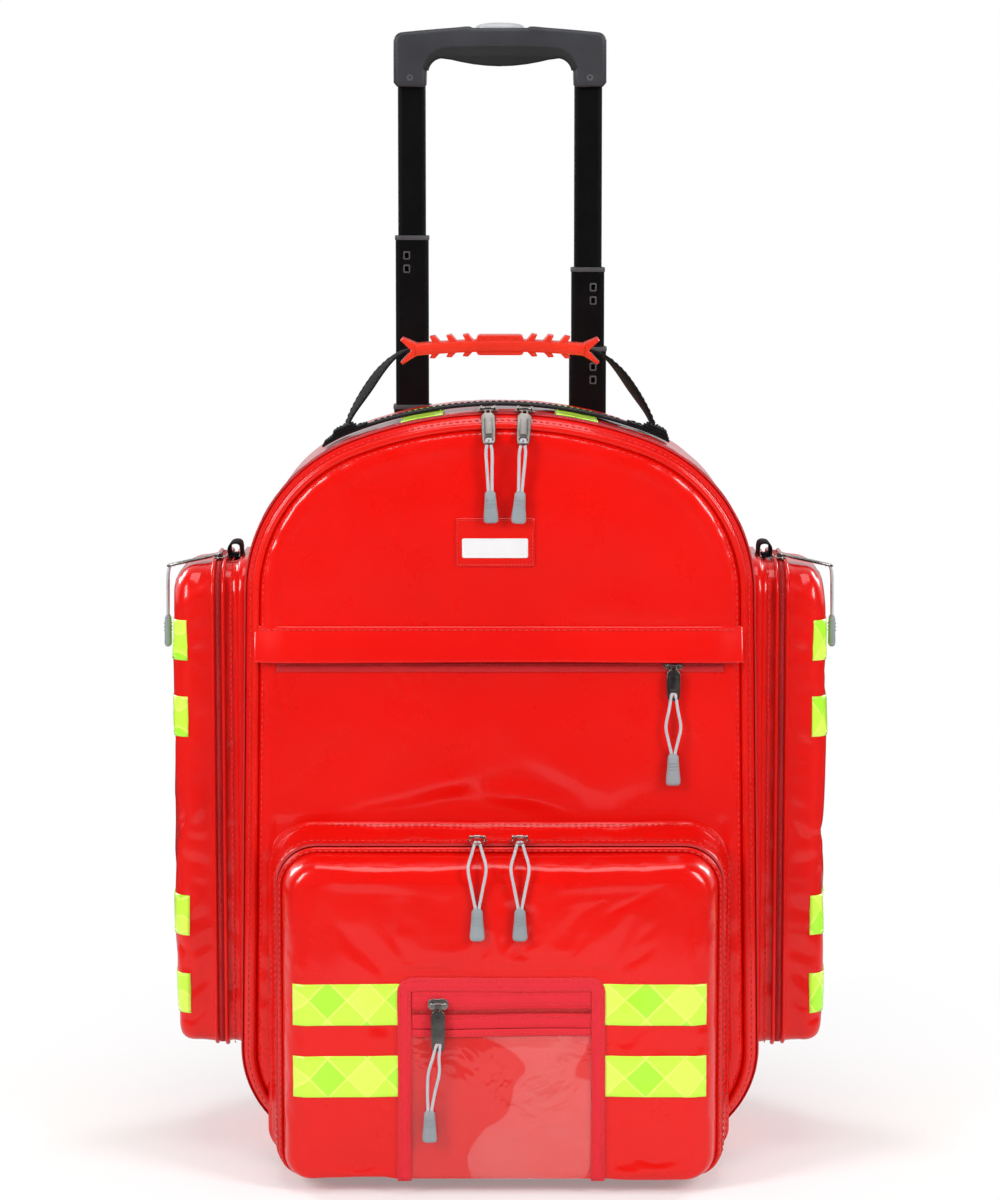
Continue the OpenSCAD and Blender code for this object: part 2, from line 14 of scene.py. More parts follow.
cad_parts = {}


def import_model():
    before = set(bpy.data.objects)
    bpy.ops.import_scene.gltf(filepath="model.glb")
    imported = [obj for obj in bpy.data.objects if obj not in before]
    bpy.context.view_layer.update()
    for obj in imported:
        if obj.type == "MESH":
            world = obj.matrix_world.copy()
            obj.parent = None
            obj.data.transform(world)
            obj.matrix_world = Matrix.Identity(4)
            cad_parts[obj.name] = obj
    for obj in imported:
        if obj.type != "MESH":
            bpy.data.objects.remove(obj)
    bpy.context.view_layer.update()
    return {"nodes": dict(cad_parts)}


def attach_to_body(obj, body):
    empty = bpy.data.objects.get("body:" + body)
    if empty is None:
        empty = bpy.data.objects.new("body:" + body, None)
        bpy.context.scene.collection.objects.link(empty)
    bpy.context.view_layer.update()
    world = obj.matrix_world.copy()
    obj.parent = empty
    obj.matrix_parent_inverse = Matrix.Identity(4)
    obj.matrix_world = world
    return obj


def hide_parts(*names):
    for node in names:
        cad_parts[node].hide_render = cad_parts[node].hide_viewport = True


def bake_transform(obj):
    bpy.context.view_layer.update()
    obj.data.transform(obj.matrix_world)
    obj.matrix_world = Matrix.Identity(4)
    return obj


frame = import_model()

rng = np.random.RandomState(7)
MM = 0.001

# Main bag: an arch seen from the front
CROWN_Z, CROWN_RADIUS = 547.0, 300.0
CROWN_CENTRE_Z = CROWN_Z - CROWN_RADIUS
SHOULDER_RADIUS, FOOT_RADIUS = 118.0, 75.0
HALF_WIDTH_TOP, HALF_WIDTH_BOTTOM = 183.0, 188.0
UNDERSIDE_Z = 9.0
MAIN_ZIP_Y = -80
SEAM_LENGTH = 1900  # nominal length round the arch, for the puckers

# Front pocket
POCKET_HALF, POCKET_TOP, POCKET_BOTTOM = 160.0, 247.0, 8.8
POCKET_ZIP_Y = -140.3
FLAP_ZIP_Z = 368
PATCH = (-32, 25, 438, 473)  # x0, x1, z0, z1

# Side pockets
SIDE_TOP, SIDE_BOTTOM, SIDE_HALF = 436.0, 80.0, 60.0
SIDE_ZIP_X = 204
HINGE_HALF_SIDE = 46

# Carry handle and trolley handle
HANDLE_Y, HANDLE_Z = -20.0, 533.0
TUBE_X, TUBE_Y, GRIP_TOP = 66.5, 102.0, 824.0

# Points round each outline
ARCH_STEPS, POCKET_STEPS, SIDE_STEPS, PAD_STEPS = 440, 380, 300, 320

BAR_HEIGHT = 3.3  # a slider's cross bar above its base


# ---------------------------------------------------------------- shader nodes
class Shader:
    """A node tree; each method adds a node and returns its output socket."""

    def __init__(self, block):
        self.block = block
        block.use_nodes = True
        self.tree = block.node_tree
        self.nodes = self.tree.nodes

    def feed(self, socket, value):
        """Links a socket into another, or sets its value; RGB gets an alpha of 1."""
        if isinstance(value, bpy.types.NodeSocket):
            self.tree.links.new(value, socket)
        elif socket.type == "RGBA" and len(value) == 3:
            socket.default_value = (*value, 1.0)
        else:
            socket.default_value = value

    def node(self, kind, inputs=None, **attributes):
        node = self.nodes.new(kind)
        for key, value in attributes.items():
            setattr(node, key, value)
        for key, value in (inputs or {}).items():
            self.feed(node.inputs[key], value)
        return node

    def coords(self, scale=(1, 1, 1), rotation=(0, 0, 0)):
        source = self.node("ShaderNodeTexCoord").outputs["Object"]
        inputs = {"Vector": source, "Scale": scale, "Rotation": rotation}
        return self.node("ShaderNodeMapping", inputs).outputs["Vector"]

    def noise(self, place, scale, detail=3.0, roughness=0.5, distortion=0.0):
        inputs = {"Vector": place, "Scale": scale, "Detail": detail,
                  "Roughness": roughness, "Distortion": distortion}
        return self.node("ShaderNodeTexNoise", inputs).outputs["Fac"]

    def wave(self, place, scale, direction):
        return self.node("ShaderNodeTexWave", {"Vector": place, "Scale": scale},
                         bands_direction=direction).outputs["Fac"]

    def math(self, operation, first, second=0.0, third=None):
        inputs = {0: first, 1: second}
        if third is not None:
            inputs[2] = third
        return self.node("ShaderNodeMath", inputs, operation=operation).outputs[0]

    def ramp(self, factor, stops):
        node = self.node("ShaderNodeValToRGB", {"Fac": factor})
        elements = node.color_ramp.elements
        while len(elements) < len(stops):
            elements.new(0.5)
        for element, (position, colour) in zip(elements, stops):
            element.position = position
            element.color = (*colour, 1.0)
        return node.outputs["Color"]

    def mix(self, factor, first, second):
        inputs = {0: factor, 6: first, 7: second}
        return self.node("ShaderNodeMix", inputs, data_type="RGBA").outputs[2]

    def mix_shader(self, factor, first, second):
        return self.node("ShaderNodeMixShader", {0: factor, 1: first, 2: second}).outputs[0]

    def map_range(self, value, from_min, from_max, to_min, to_max):
        inputs = {"Value": value, "From Min": from_min, "From Max": from_max,
                  "To Min": to_min, "To Max": to_max}
        return self.node("ShaderNodeMapRange", inputs).outputs["Result"]

    def bump(self, height, strength, distance, normal=None):
        inputs = {"Height": height, "Strength": strength, "Distance": distance}
        if normal is not None:
            inputs["Normal"] = normal
        return self.node("ShaderNodeBump", inputs).outputs["Normal"]

    def surface(self, inputs):
        """Sets inputs of the Principled node and returns the material."""
        for key, value in inputs.items():
            self.feed(self.nodes["Principled BSDF"].inputs[key], value)
        return self.block

    def principled(self):
        return self.nodes["Principled BSDF"].outputs[0]

    def output(self, socket, name="Material Output"):
        self.tree.links.new(socket, self.nodes[name].inputs[0])


def new_shader(name):
    return Shader(bpy.data.materials.new(name))


# ---------------------------------------------------------------- materials
def pvc(name, shade_a, shade_b, roughness=0.30, coat=0.7):
    """Glossy coated fabric with a faint woven scrim and soft dents."""
    shader = new_shader(name)
    place = shader.coords()
    cloud = shader.noise(place, scale=7.0)
    ripples = shader.noise(place, scale=38.0, roughness=0.55)
    grain = shader.noise(place, scale=900.0, detail=2.0)
    colour = shader.ramp(cloud, [(0.32, shade_a), (0.68, shade_b)])
    scrim = shader.math("MULTIPLY", shader.wave(place, 260.0, "X"), shader.wave(place, 260.0, "Z"))
    scrim_shade = (shade_a[0] * 0.75, shade_a[1] * 0.5, shade_a[2] * 0.5)
    colour = shader.mix(shader.math("MULTIPLY", scrim, 0.05), colour, scrim_shade)
    normal = shader.bump(scrim, strength=0.05, distance=0.0002)
    normal = shader.bump(grain, strength=0.03, distance=0.0003, normal=normal)
    normal = shader.bump(ripples, strength=0.09, distance=0.0018, normal=normal)
    dents = shader.noise(place, scale=13.0, detail=2.0)
    normal = shader.bump(dents, strength=0.10, distance=0.006, normal=normal)
    return shader.surface({
        "Base Color": colour,
        "Roughness": shader.math("MULTIPLY_ADD", ripples, 0.14, roughness - 0.05),
        "Coat Weight": coat, "Coat Roughness": 0.05, "Specular IOR Level": 0.22,
        "Normal": normal, "Coat Normal": normal})


def crossed_waves(shader, scale, direction, rotations):
    """Two diagonal sets of ribs, the higher of the two."""
    waves = [shader.wave(shader.coords(rotation=turn), scale, direction) for turn in rotations]
    return shader.math("MAXIMUM", *waves)


def tape(name, rib, groove, scale=520.0, roughness=0.62, specular=0.35, sheen=0.15):
    """Woven tape: fine twill with raised ribs; the grooves between them are painted darker as
    painted shade.
    """
    shader = new_shader(name)
    place = shader.coords()
    weave = crossed_waves(shader, scale, "X", ((0.6, 0.78, 0.4), (-0.5, -0.78, 0.3)))
    fibres = shader.noise(place, scale=1500.0, detail=2.0)
    # painted shade: the grooves between the ribs take the darker groove colour, as shade would fall
    # in them
    colour = shader.mix(weave, groove, rib)
    patches = shader.math("MULTIPLY", shader.noise(place, scale=30.0), 0.35)
    colour = shader.mix(patches, colour, groove)
    normal = shader.bump(weave, strength=0.35, distance=0.0004)
    normal = shader.bump(fibres, strength=0.15, distance=0.0002, normal=normal)
    return shader.surface({"Base Color": colour, "Roughness": roughness, "Sheen Weight": sheen,
                           "Normal": normal, "Specular IOR Level": specular})


def plastic(name, shade_a, shade_b, roughness, grain=1200.0, depth=0.12, coat=0.0):
    """Moulded plastic or rubber; grain is the texture's scale and depth its strength."""
    shader = new_shader(name)
    place = shader.coords()
    cloud = shader.noise(place, scale=22.0, detail=4.0)
    colour = shader.ramp(cloud, [(0.35, shade_a), (0.7, shade_b)])
    texture = shader.noise(place, scale=grain, detail=2.0, roughness=0.6)
    wear = shader.noise(place, scale=90.0)
    normal = shader.bump(texture, strength=depth, distance=0.0003)
    normal = shader.bump(wear, strength=0.05, distance=0.001, normal=normal)
    return shader.surface({
        "Base Color": colour,
        "Roughness": shader.math("MULTIPLY_ADD", wear, 0.16, roughness - 0.08),
        "Normal": normal, "Coat Weight": coat, "Coat Roughness": 0.2,
        "Specular IOR Level": 0.45})


def metal(name, shade_a, shade_b, roughness, brush=(1, 1, 1), metallic=1.0, specular=0.5):
    """Brushed metal or paint; brush stretches the streaks along each axis."""
    shader = new_shader(name)
    streaks = shader.noise(shader.coords(scale=brush), scale=160.0, detail=4.0, roughness=0.6)
    cloud = shader.noise(shader.coords(), scale=45.0)
    blend = shader.math("ADD", shader.math("MULTIPLY", streaks, 0.5),
                        shader.math("MULTIPLY", cloud, 0.5))
    return shader.surface({
        "Base Color": shader.ramp(blend, [(0.3, shade_a), (0.7, shade_b)]),
        "Roughness": shader.math("MULTIPLY_ADD", streaks, 0.18, roughness - 0.06),
        "Metallic": metallic, "Specular IOR Level": specular,
        "Normal": shader.bump(streaks, strength=0.06, distance=0.0003)})


def lime_film(name):
    """Micro-prismatic film: triangles in rows with different tilt, each row painted a lighter or
    darker green as painted light and shade, under a clear skin, with a faint painted glow.
    """
    facets_per_metre = 1 / 0.0560
    shader = new_shader(name)
    math_node = shader.math
    place = shader.coords()
    axes = shader.node("ShaderNodeSeparateXYZ", {"Vector": place}).outputs
    # x + y keeps the pattern running round the strips on the front, the sides and the top
    along = math_node("ADD", axes[0], axes[1])

    def diagonal(operation):
        across = math_node(operation, along, math_node("MULTIPLY", axes[2], 1.0))
        return math_node("FRACT", math_node("MULTIPLY", across, facets_per_metre))

    def edge_distance(rows):
        doubled = math_node("FRACT", math_node("MULTIPLY", rows, 2.0))
        return math_node("ABSOLUTE", math_node("SUBTRACT", doubled, 0.5))

    rising, falling = diagonal("ADD"), diagonal("SUBTRACT")
    halves = [math_node("MULTIPLY", math_node("GREATER_THAN", rows, 0.5), 0.5)
              for rows in (rising, falling)]
    facets = math_node("ADD", *halves)
    nearest = math_node("MAXIMUM", edge_distance(rising), edge_distance(falling))
    edge = math_node("GREATER_THAN", nearest, 0.465)
    # painted light and shade: each row of triangles gets its own lighter or darker green, standing
    # for the light its tilt would catch
    colour = shader.ramp(facets, [(0.0, (0.40, 0.90, 0.030)), (0.5, (0.58, 0.93, 0.055)),
                                  (1.0, (0.70, 0.95, 0.10))])
    colour = shader.mix(math_node("MULTIPLY", edge, 0.75), colour, (0.80, 1.0, 0.16))
    micro = math_node("MULTIPLY", shader.wave(place, 300.0, "X"), shader.wave(place, 300.0, "Z"))
    colour = shader.mix(math_node("MULTIPLY", micro, 0.18), colour, (0.42, 0.74, 0.02))
    normal = shader.bump(micro, strength=0.10, distance=0.0003)
    normal = shader.bump(facets, strength=0.12, distance=0.0004, normal=normal)
    dents = shader.noise(place, scale=40.0, detail=2.0)
    normal = shader.bump(dents, strength=0.12, distance=0.001, normal=normal)
    # the emission gives the film a faint painted glow of its own, as if it were more brightly lit
    return shader.surface({
        "Base Color": colour, "Roughness": 0.25, "Coat Weight": 0.5, "Coat Roughness": 0.08,
        "Normal": normal, "Specular IOR Level": 0.5,
        "Emission Color": (0.55, 0.95, 0.06), "Emission Strength": 0.10})


def clear_vinyl(name):
    """Clear soft sheet: a pale painted reflection in sharp-edged soft shapes, stronger lower down,
    and its own gloss.
    """
    shader = new_shader(name)
    place = shader.coords()
    waves = shader.noise(place, scale=26.0, roughness=0.6, distortion=1.2)
    height = shader.node("ShaderNodeSeparateXYZ", {"Vector": place}).outputs[2]
    # painted reflection: pale sharp-edged shapes, more of them lower down, raise the alpha of the
    # pale pink base colour to stand in for a reflection on the sheet
    shapes = shader.noise(place, scale=11.0, detail=1.0, roughness=0.4, distortion=0.8)
    painted_reflection = shader.math("ADD", shapes, shader.math("MULTIPLY", height, -1.6))
    normal = shader.bump(waves, strength=0.5, distance=0.004)
    alpha = shader.ramp(painted_reflection, [(0.368, (0.004,) * 3), (0.380, (0.045,) * 3), (0.55, (0.055,) * 3)])
    shader.surface({"Base Color": (1.0, 0.86, 0.84), "Roughness": 0.3, "Alpha": alpha,
                    "Normal": normal, "Specular IOR Level": 0.0})
    gloss = shader.node("ShaderNodeBsdfGlossy",
                        {"Color": (1, 1, 1), "Roughness": 0.05, "Normal": normal})
    shader.output(shader.mix_shader(0.035, shader.principled(), gloss.outputs[0]))
    return shader.block


def cord(name, rib, groove):
    """Twisted cord or thread; the grooves of the twist are painted darker as painted shade."""
    shader = new_shader(name)
    twist = crossed_waves(shader, 420.0, "Z", ((0.5, 0.6, 0.2), (-0.5, -0.6, 0.1)))
    # painted shade: the grooves of the twist take the darker groove colour
    return shader.surface({
        "Base Color": shader.mix(twist, groove, rib), "Roughness": 0.7, "Sheen Weight": 0.2,
        "Normal": shader.bump(twist, strength=0.5, distance=0.0004)})


RED, DEEP_RED = (0.80, 0.0042, 0.0011), (0.72, 0.0028, 0.0009)
PVC = pvc("m_pvc_red", DEEP_RED, RED)
PVC_PANEL = pvc("m_pvc_panel", DEEP_RED, RED, roughness=0.27, coat=0.75)
PIPING = pvc("m_piping", (0.66, 0.006, 0.004), (0.82, 0.012, 0.006), roughness=0.2, coat=0.5)
CRIMSON = tape("m_crimson_binding", (0.84, 0.012, 0.030), (0.62, 0.007, 0.018))
ZIP_TAPE = tape("m_zip_tape", (0.66, 0.007, 0.010), (0.44, 0.004, 0.007))
TEETH = plastic("m_zip_teeth", (0.42, 0.006, 0.008), (0.60, 0.010, 0.012),
                roughness=0.35, grain=400)
WEBBING = tape("m_black_webbing", (0.013, 0.013, 0.014), (0.005, 0.005, 0.006),
               scale=360.0, roughness=0.8, specular=0.10, sheen=0.03)
MESH_PAD = tape("m_black_mesh", (0.030, 0.030, 0.034), (0.010, 0.010, 0.012),
                scale=420.0, roughness=0.85)
LINING = tape("m_lining", (0.10, 0.10, 0.11), (0.05, 0.05, 0.055), scale=460.0, roughness=0.75)
LIME = lime_film("m_lime_reflective")
TUBE_BLACK = metal("m_tube_black", (0.0022, 0.0022, 0.0027), (0.0045, 0.0045, 0.0052),
                   roughness=0.34, brush=(12, 12, 0.6), metallic=0.0, specular=0.18)
GRIP_DARK = plastic("m_grip_dark", (0.030, 0.031, 0.036), (0.044, 0.045, 0.052),
                    roughness=0.46, grain=1500, depth=0.2)
PALM = plastic("m_grip_palm", (0.010, 0.010, 0.011), (0.016, 0.016, 0.018),
               roughness=0.6, grain=900, depth=0.3)
BUTTON = plastic("m_button", (0.44, 0.45, 0.47), (0.54, 0.55, 0.57), roughness=0.28)
TRAY = plastic("m_tray_black", (0.014, 0.014, 0.015), (0.024, 0.024, 0.026),
               roughness=0.5, grain=900, depth=0.25)
BOARD = plastic("m_board", (0.03, 0.03, 0.033), (0.045, 0.045, 0.05),
                roughness=0.55, grain=300, depth=0.2)
STEEL = metal("m_steel", (0.45, 0.45, 0.46), (0.62, 0.62, 0.63), roughness=0.28,
              brush=(1, 1, 60))
NICKEL = metal("m_slider_nickel", (0.36, 0.34, 0.32), (0.60, 0.58, 0.55), roughness=0.24)
GUNMETAL = metal("m_tab_gunmetal", (0.16, 0.15, 0.14), (0.34, 0.32, 0.30), roughness=0.3)
CORD = cord("m_cord_grey", (0.56, 0.60, 0.63), (0.36, 0.39, 0.42))
CORD_END = plastic("m_cord_end", (0.26, 0.29, 0.31), (0.33, 0.36, 0.38),
                   roughness=0.42, grain=700, depth=0.1)
RUBBER = plastic("m_red_rubber", (0.72, 0.022, 0.006), (0.84, 0.035, 0.010),
                 roughness=0.34, grain=600, depth=0.1, coat=0.2)
TYRE = plastic("m_tyre", (0.018, 0.018, 0.019), (0.028, 0.028, 0.03),
               roughness=0.7, grain=500, depth=0.35)
HUB = plastic("m_hub", (0.06, 0.06, 0.066), (0.09, 0.09, 0.098), roughness=0.42)
RED_THREAD = cord("m_thread_red", (0.82, 0.024, 0.018), (0.62, 0.010, 0.008))
BLACK_THREAD = cord("m_thread_black", (0.06, 0.06, 0.06), (0.02, 0.02, 0.02))
VINYL = clear_vinyl("m_vinyl")
LABEL_WHITE = tape("m_label_white", (0.86, 0.86, 0.86), (0.72, 0.72, 0.73),
                   scale=700.0, roughness=0.6)


# ---------------------------------------------------------------- arithmetic
def vec(*values):
    return np.array(values, float)


def unit(vectors):
    return vectors / np.maximum(np.linalg.norm(vectors, axis=-1, keepdims=True), 1e-9)


def turn(steps):
    return np.linspace(0, 2 * math.pi, steps, endpoint=False)


def bell(distance, width):
    return np.exp(-0.5 * (distance / width) ** 2)


def smoothstep(start, end, value):
    t = np.clip((value - start) / (end - start), 0, 1)
    return t * t * (3 - 2 * t)


def rotated(x, z, angle):
    cos, sin = math.cos(angle), math.sin(angle)
    return x * cos + z * sin, -x * sin + z * cos


WAVES = [(rng.normal(size=3), rng.uniform(0, 6.28)) for _ in range(90)]


def ripple(points, wavelength, seed):
    """Smooth noise of about -1..1 from a sum of sines, with features wavelength mm across."""
    points = np.asarray(points, float)
    result = np.zeros(len(points))
    amplitude, total = 1.0, 0.0
    for octave in range(2):
        layer = np.zeros(len(points))
        for i in range(9):
            direction, phase = WAVES[(seed * 13 + octave * 9 + i) % 90]
            direction = unit(direction) * (0.7 + 0.6 * ((i * 37) % 10) / 10)
            layer += np.sin(points @ direction * (6.283 / wavelength) + phase * (1 + i))
        result += amplitude * layer / 3.0
        total += amplitude
        amplitude *= 0.5
        wavelength *= 0.48
    return result / total


# ---------------------------------------------------------------- objects
def make_object(name, verts, faces, materials, material_index=None):
    mesh = bpy.data.meshes.new(name)
    mesh.from_pydata((np.asarray(verts, float) * MM).tolist(), [], faces)
    for material in materials:
        mesh.materials.append(material)
    if material_index is not None:
        mesh.polygons.foreach_set("material_index", material_index)
    mesh.polygons.foreach_set("use_smooth", [True] * len(mesh.polygons))
    mesh.validate()
    mesh.update()
    return link_object(name, mesh)


def link_object(name, data):
    obj = bpy.data.objects.new(name, data)
    bpy.context.scene.collection.objects.link(obj)
    return obj


def fix_normals(obj, merge=0.0):
    bm = bmesh.new()
    bm.from_mesh(obj.data)
    if merge:
        bmesh.ops.remove_doubles(bm, verts=bm.verts, dist=merge * MM)
    bmesh.ops.recalc_face_normals(bm, faces=bm.faces)
    bm.to_mesh(obj.data)
    bm.free()
    obj.data.update()
    return obj


def smooth_by_angle(obj, degrees):
    bm = bmesh.new()
    bm.from_mesh(obj.data)
    limit = math.radians(degrees)
    for edge in bm.edges:
        edge.smooth = not (len(edge.link_faces) == 2 and edge.calc_face_angle(0) > limit)
    for face in bm.faces:
        face.smooth = True
    bm.to_mesh(obj.data)
    bm.free()
    return obj


def attach(obj, body, replaced=None):
    """Lets an object move with a body, in place of a CAD node if one is named."""
    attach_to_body(obj, body)
    if replaced:
        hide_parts(replaced)
    return obj


def solidify(obj, thick, offset=0, **settings):
    wall = obj.modifiers.new("wall", "SOLIDIFY")
    settings.update(thickness=thick * MM, offset=offset)
    for key, value in settings.items():
        setattr(wall, key, value)
    return wall


def skin(name, verts, faces, material):
    """Fabric skin with a slot for its lining."""
    return fix_normals(make_object(name, verts, faces, [material, LINING]), 0.02)


def line_inside(obj, thick):
    """Thickens a skin inwards, with the lining on the inner face."""
    solidify(obj, thick, offset=-1.0, material_offset=1, material_offset_rim=0)


def sheet(name, points, rows, columns, material, thick, body, replaced=None):
    """Thin open sheet through a grid of points."""
    obj = make_object(name, points, grid_faces(rows, columns, False), [material])
    fix_normals(obj)
    solidify(obj, thick)
    return attach(obj, body, replaced)


def grid_faces(rows, columns, closed=True):
    faces = []
    for k in range(rows - 1):
        for i in range(columns if closed else columns - 1):
            j = (i + 1) % columns
            faces.append((k * columns + i, k * columns + j,
                          (k + 1) * columns + j, (k + 1) * columns + i))
    return faces


def vertex_normals(verts, faces):
    """Vertex normals of a mesh of quads."""
    normals = np.zeros_like(verts)
    quads = np.array(faces)
    crosses = np.cross(verts[quads[:, 2]] - verts[quads[:, 0]],
                       verts[quads[:, 3]] - verts[quads[:, 1]])
    for k in range(4):
        np.add.at(normals, quads[:, k], crosses)
    return unit(normals)


def mesh_bvh(obj):
    mesh = obj.data
    return BVHTree.FromPolygons([v.co * 1000.0 for v in mesh.vertices],
                                [tuple(p.vertices) for p in mesh.polygons])


def cast(bvh, start, direction, reach, lift, missed):
    """Where a ray meets a surface, lifted off it, and the normal facing the ray."""
    spot, normal = bvh.ray_cast(start, direction, reach)[:2]
    if spot is None:
        return list(missed), list(-direction)
    if normal.dot(direction) >= 0:
        normal = -normal
    return list(spot + normal * lift), list(normal)


def drop(bvh, points, back, lift):
    """Projects points along +Y onto a surface, starting back mm in front of them."""
    direction = Vector((0, 1, 0))
    hits = [cast(bvh, Vector(point) - direction * back, direction, back * 3, lift, point)
            for point in points]
    return np.array([hit[0] for hit in hits]), np.array([hit[1] for hit in hits])


def puff(obj, pinned, pressure, cap, frames, grow, tension, bend):
    """Cloth under light inner pressure with the seams pinned; the result becomes the mesh.

    pinned holds a flag per vertex and cap is the furthest a vertex may move.
    """
    mesh = obj.data
    rest = np.array([v.co for v in mesh.vertices], float)
    group = obj.vertex_groups.new(name="pin")
    group.add([i for i, held in enumerate(pinned) if held], 1.0, "REPLACE")
    cloth = obj.modifiers.new("c", "CLOTH")
    settings = cloth.settings
    settings.quality = 6
    settings.mass = 0.25
    settings.tension_stiffness = settings.compression_stiffness = tension
    settings.shear_stiffness = tension * 0.4
    settings.bending_stiffness = bend
    settings.tension_damping = settings.compression_damping = 8.0
    settings.air_damping = 3.0
    settings.vertex_group_mass = "pin"
    settings.use_pressure = True
    settings.uniform_pressure_force = pressure
    settings.shrink_min = -grow
    settings.effector_weights.gravity = 0.0
    cloth.collision_settings.use_collision = False
    cloth.point_cache.frame_start = 1
    cloth.point_cache.frame_end = frames
    scene = bpy.context.scene
    for number in range(1, frames + 1):
        scene.frame_set(number)
    evaluated = obj.evaluated_get(bpy.context.evaluated_depsgraph_get())
    moved_to = np.array([v.co for v in evaluated.to_mesh().vertices], float)
    evaluated.to_mesh_clear()
    obj.modifiers.remove(cloth)
    scene.frame_set(1)
    shift = moved_to - rest
    distance = np.linalg.norm(shift, axis=1)
    share = np.minimum(1.0, cap * MM / np.maximum(distance, 1e-9))
    share = np.where(np.isfinite(distance), share, 0)
    result = rest + np.nan_to_num(shift) * share[:, None]
    mesh.vertices.foreach_set("co", result.ravel())
    mesh.update()


# ---------------------------------------------------------------- outlines
def running_length(points):
    return np.concatenate([[0], np.cumsum(np.linalg.norm(np.diff(points, axis=0), axis=1))])


def interpolate(values, at, reach, closed=False):
    values = np.vstack([values, values[:1]]) if closed else np.asarray(values, float)
    return np.stack([np.interp(at, reach, column) for column in values.T], 1)


def stations(path, step, closed=False):
    """Distances every step mm along a path, and the running length at its points."""
    points = np.vstack([path, path[:1]]) if closed else np.asarray(path, float)
    reach = running_length(points)
    return np.arange(step * 0.5, reach[-1], step), reach


def closed_outline(parts, steps):
    """Joins (points, normals) parts into a loop of evenly spaced points."""
    points, normals = (np.vstack(columns) for columns in zip(*parts))
    reach = running_length(np.vstack([points, points[:1]]))
    at = np.linspace(0, reach[-1], steps, endpoint=False)
    return interpolate(points, at, reach, True), unit(interpolate(normals, at, reach, True))


def arc(x, z, radius, start, end, steps):
    angles = np.radians(np.linspace(start, end, steps))
    normals = np.stack([np.cos(angles), np.sin(angles)], 1)
    return vec(x, z) + radius * normals, normals


def line(start, end, normal, steps=12):
    t = np.linspace(0, 1, steps)[:, None]
    return vec(*start) * (1 - t) + vec(*end) * t, np.tile(vec(*normal), (steps, 1))


def arch_outline(steps):
    """Outline of the bag from the bottom centre, +x side first."""
    shoulder_x = HALF_WIDTH_TOP - SHOULDER_RADIUS
    shoulder_z = CROWN_CENTRE_Z + math.sqrt(
        (CROWN_RADIUS - SHOULDER_RADIUS) ** 2 - shoulder_x ** 2)
    join = math.degrees(math.atan2(shoulder_z - CROWN_CENTRE_Z, shoulder_x))
    foot_x, foot_z = HALF_WIDTH_BOTTOM - FOOT_RADIUS, UNDERSIDE_Z + FOOT_RADIUS
    parts = [line((0, UNDERSIDE_Z), (foot_x, UNDERSIDE_Z), (0, -1)),
             arc(foot_x, foot_z, FOOT_RADIUS, -90, 0, 24),
             line((HALF_WIDTH_BOTTOM, foot_z), (HALF_WIDTH_TOP, shoulder_z), (1, 0.012), 30),
             arc(shoulder_x, shoulder_z, SHOULDER_RADIUS, 0, join, 36),
             arc(0, CROWN_CENTRE_Z, CROWN_RADIUS, join, 90, 24)]
    points, normals = (np.vstack(columns) for columns in zip(*parts))
    other = [half[::-1][1:-1] * vec(-1, 1) for half in (points, normals)]
    return closed_outline([(points, normals), other], steps)


def round_outline(x0, x1, z0, z1, top_radius, bottom_radius, steps):
    """Rounded rectangle from the bottom centre, counter-clockwise."""
    middle, upper, lower = (x0 + x1) / 2, z1 - top_radius, z0 + bottom_radius
    parts = [line((middle, z0), (x1 - bottom_radius, z0), (0, -1)),
             arc(x1 - bottom_radius, lower, bottom_radius, -90, 0, 14),
             line((x1, lower), (x1, upper), (1, 0)),
             arc(x1 - top_radius, upper, top_radius, 0, 90, 18),
             line((x1 - top_radius, z1), (x0 + top_radius, z1), (0, 1)),
             arc(x0 + top_radius, upper, top_radius, 90, 180, 18),
             line((x0, upper), (x0, lower), (-1, 0)),
             arc(x0 + bottom_radius, lower, bottom_radius, 180, 270, 14),
             line((x0 + bottom_radius, z0), (middle - 0.01, z0), (0, -1))]
    return closed_outline(parts, steps)


def off_hinge(points, half, z):
    """Indices of outline points outside the hinge: beyond half or above z."""
    return np.where((np.abs(points[:, 0]) >= half) | (points[:, 1] > z))[0]


def xz(points, y):
    """Flat (x, z) points placed at depth y."""
    return np.insert(np.asarray(points, float), 1, float(y), axis=1)


def nxz(normals, y=0.0):
    return unit(xz(normals, y))


def yz(points, x):
    """Flat (y, z) points placed at x."""
    return np.insert(np.asarray(points, float), 0, float(x), axis=1)


def arc_points(x, y, radius, start, end, steps):
    return [tuple(point) for point in arc(x, y, radius, start, end, steps)[0]]


def mirror(points):
    """The other half of a symmetric outline, in running order."""
    return [(-x, z) for x, z in reversed(points)]


def rounded_rect(x0, x1, y0, y1, radius, steps=5):
    points = []
    for x, y, start in ((x1 - radius, y1 - radius, 0), (x0 + radius, y1 - radius, 90),
                        (x0 + radius, y0 + radius, 180), (x1 - radius, y0 + radius, 270)):
        points += arc_points(x, y, radius, start, start + 90, steps + 1)
    return points


def spline(points, steps):
    """Catmull-Rom curve through the points."""
    points = np.asarray(points, float)
    knots = np.vstack([2 * points[:1] - points[1:2], points, 2 * points[-1:] - points[-2:-1]])
    spans = len(knots) - 3
    result = []
    for k in range(spans):
        before, start, end, after = knots[k:k + 4]
        for t in np.linspace(0, 1, max(2, steps // spans), endpoint=False):
            result.append(0.5 * (2 * start + (-before + end) * t
                                 + (2 * before - 5 * start + 4 * end - after) * t * t
                                 + (-before + 3 * start - 3 * end + after) * t ** 3))
    return np.array(result + [points[-1]])


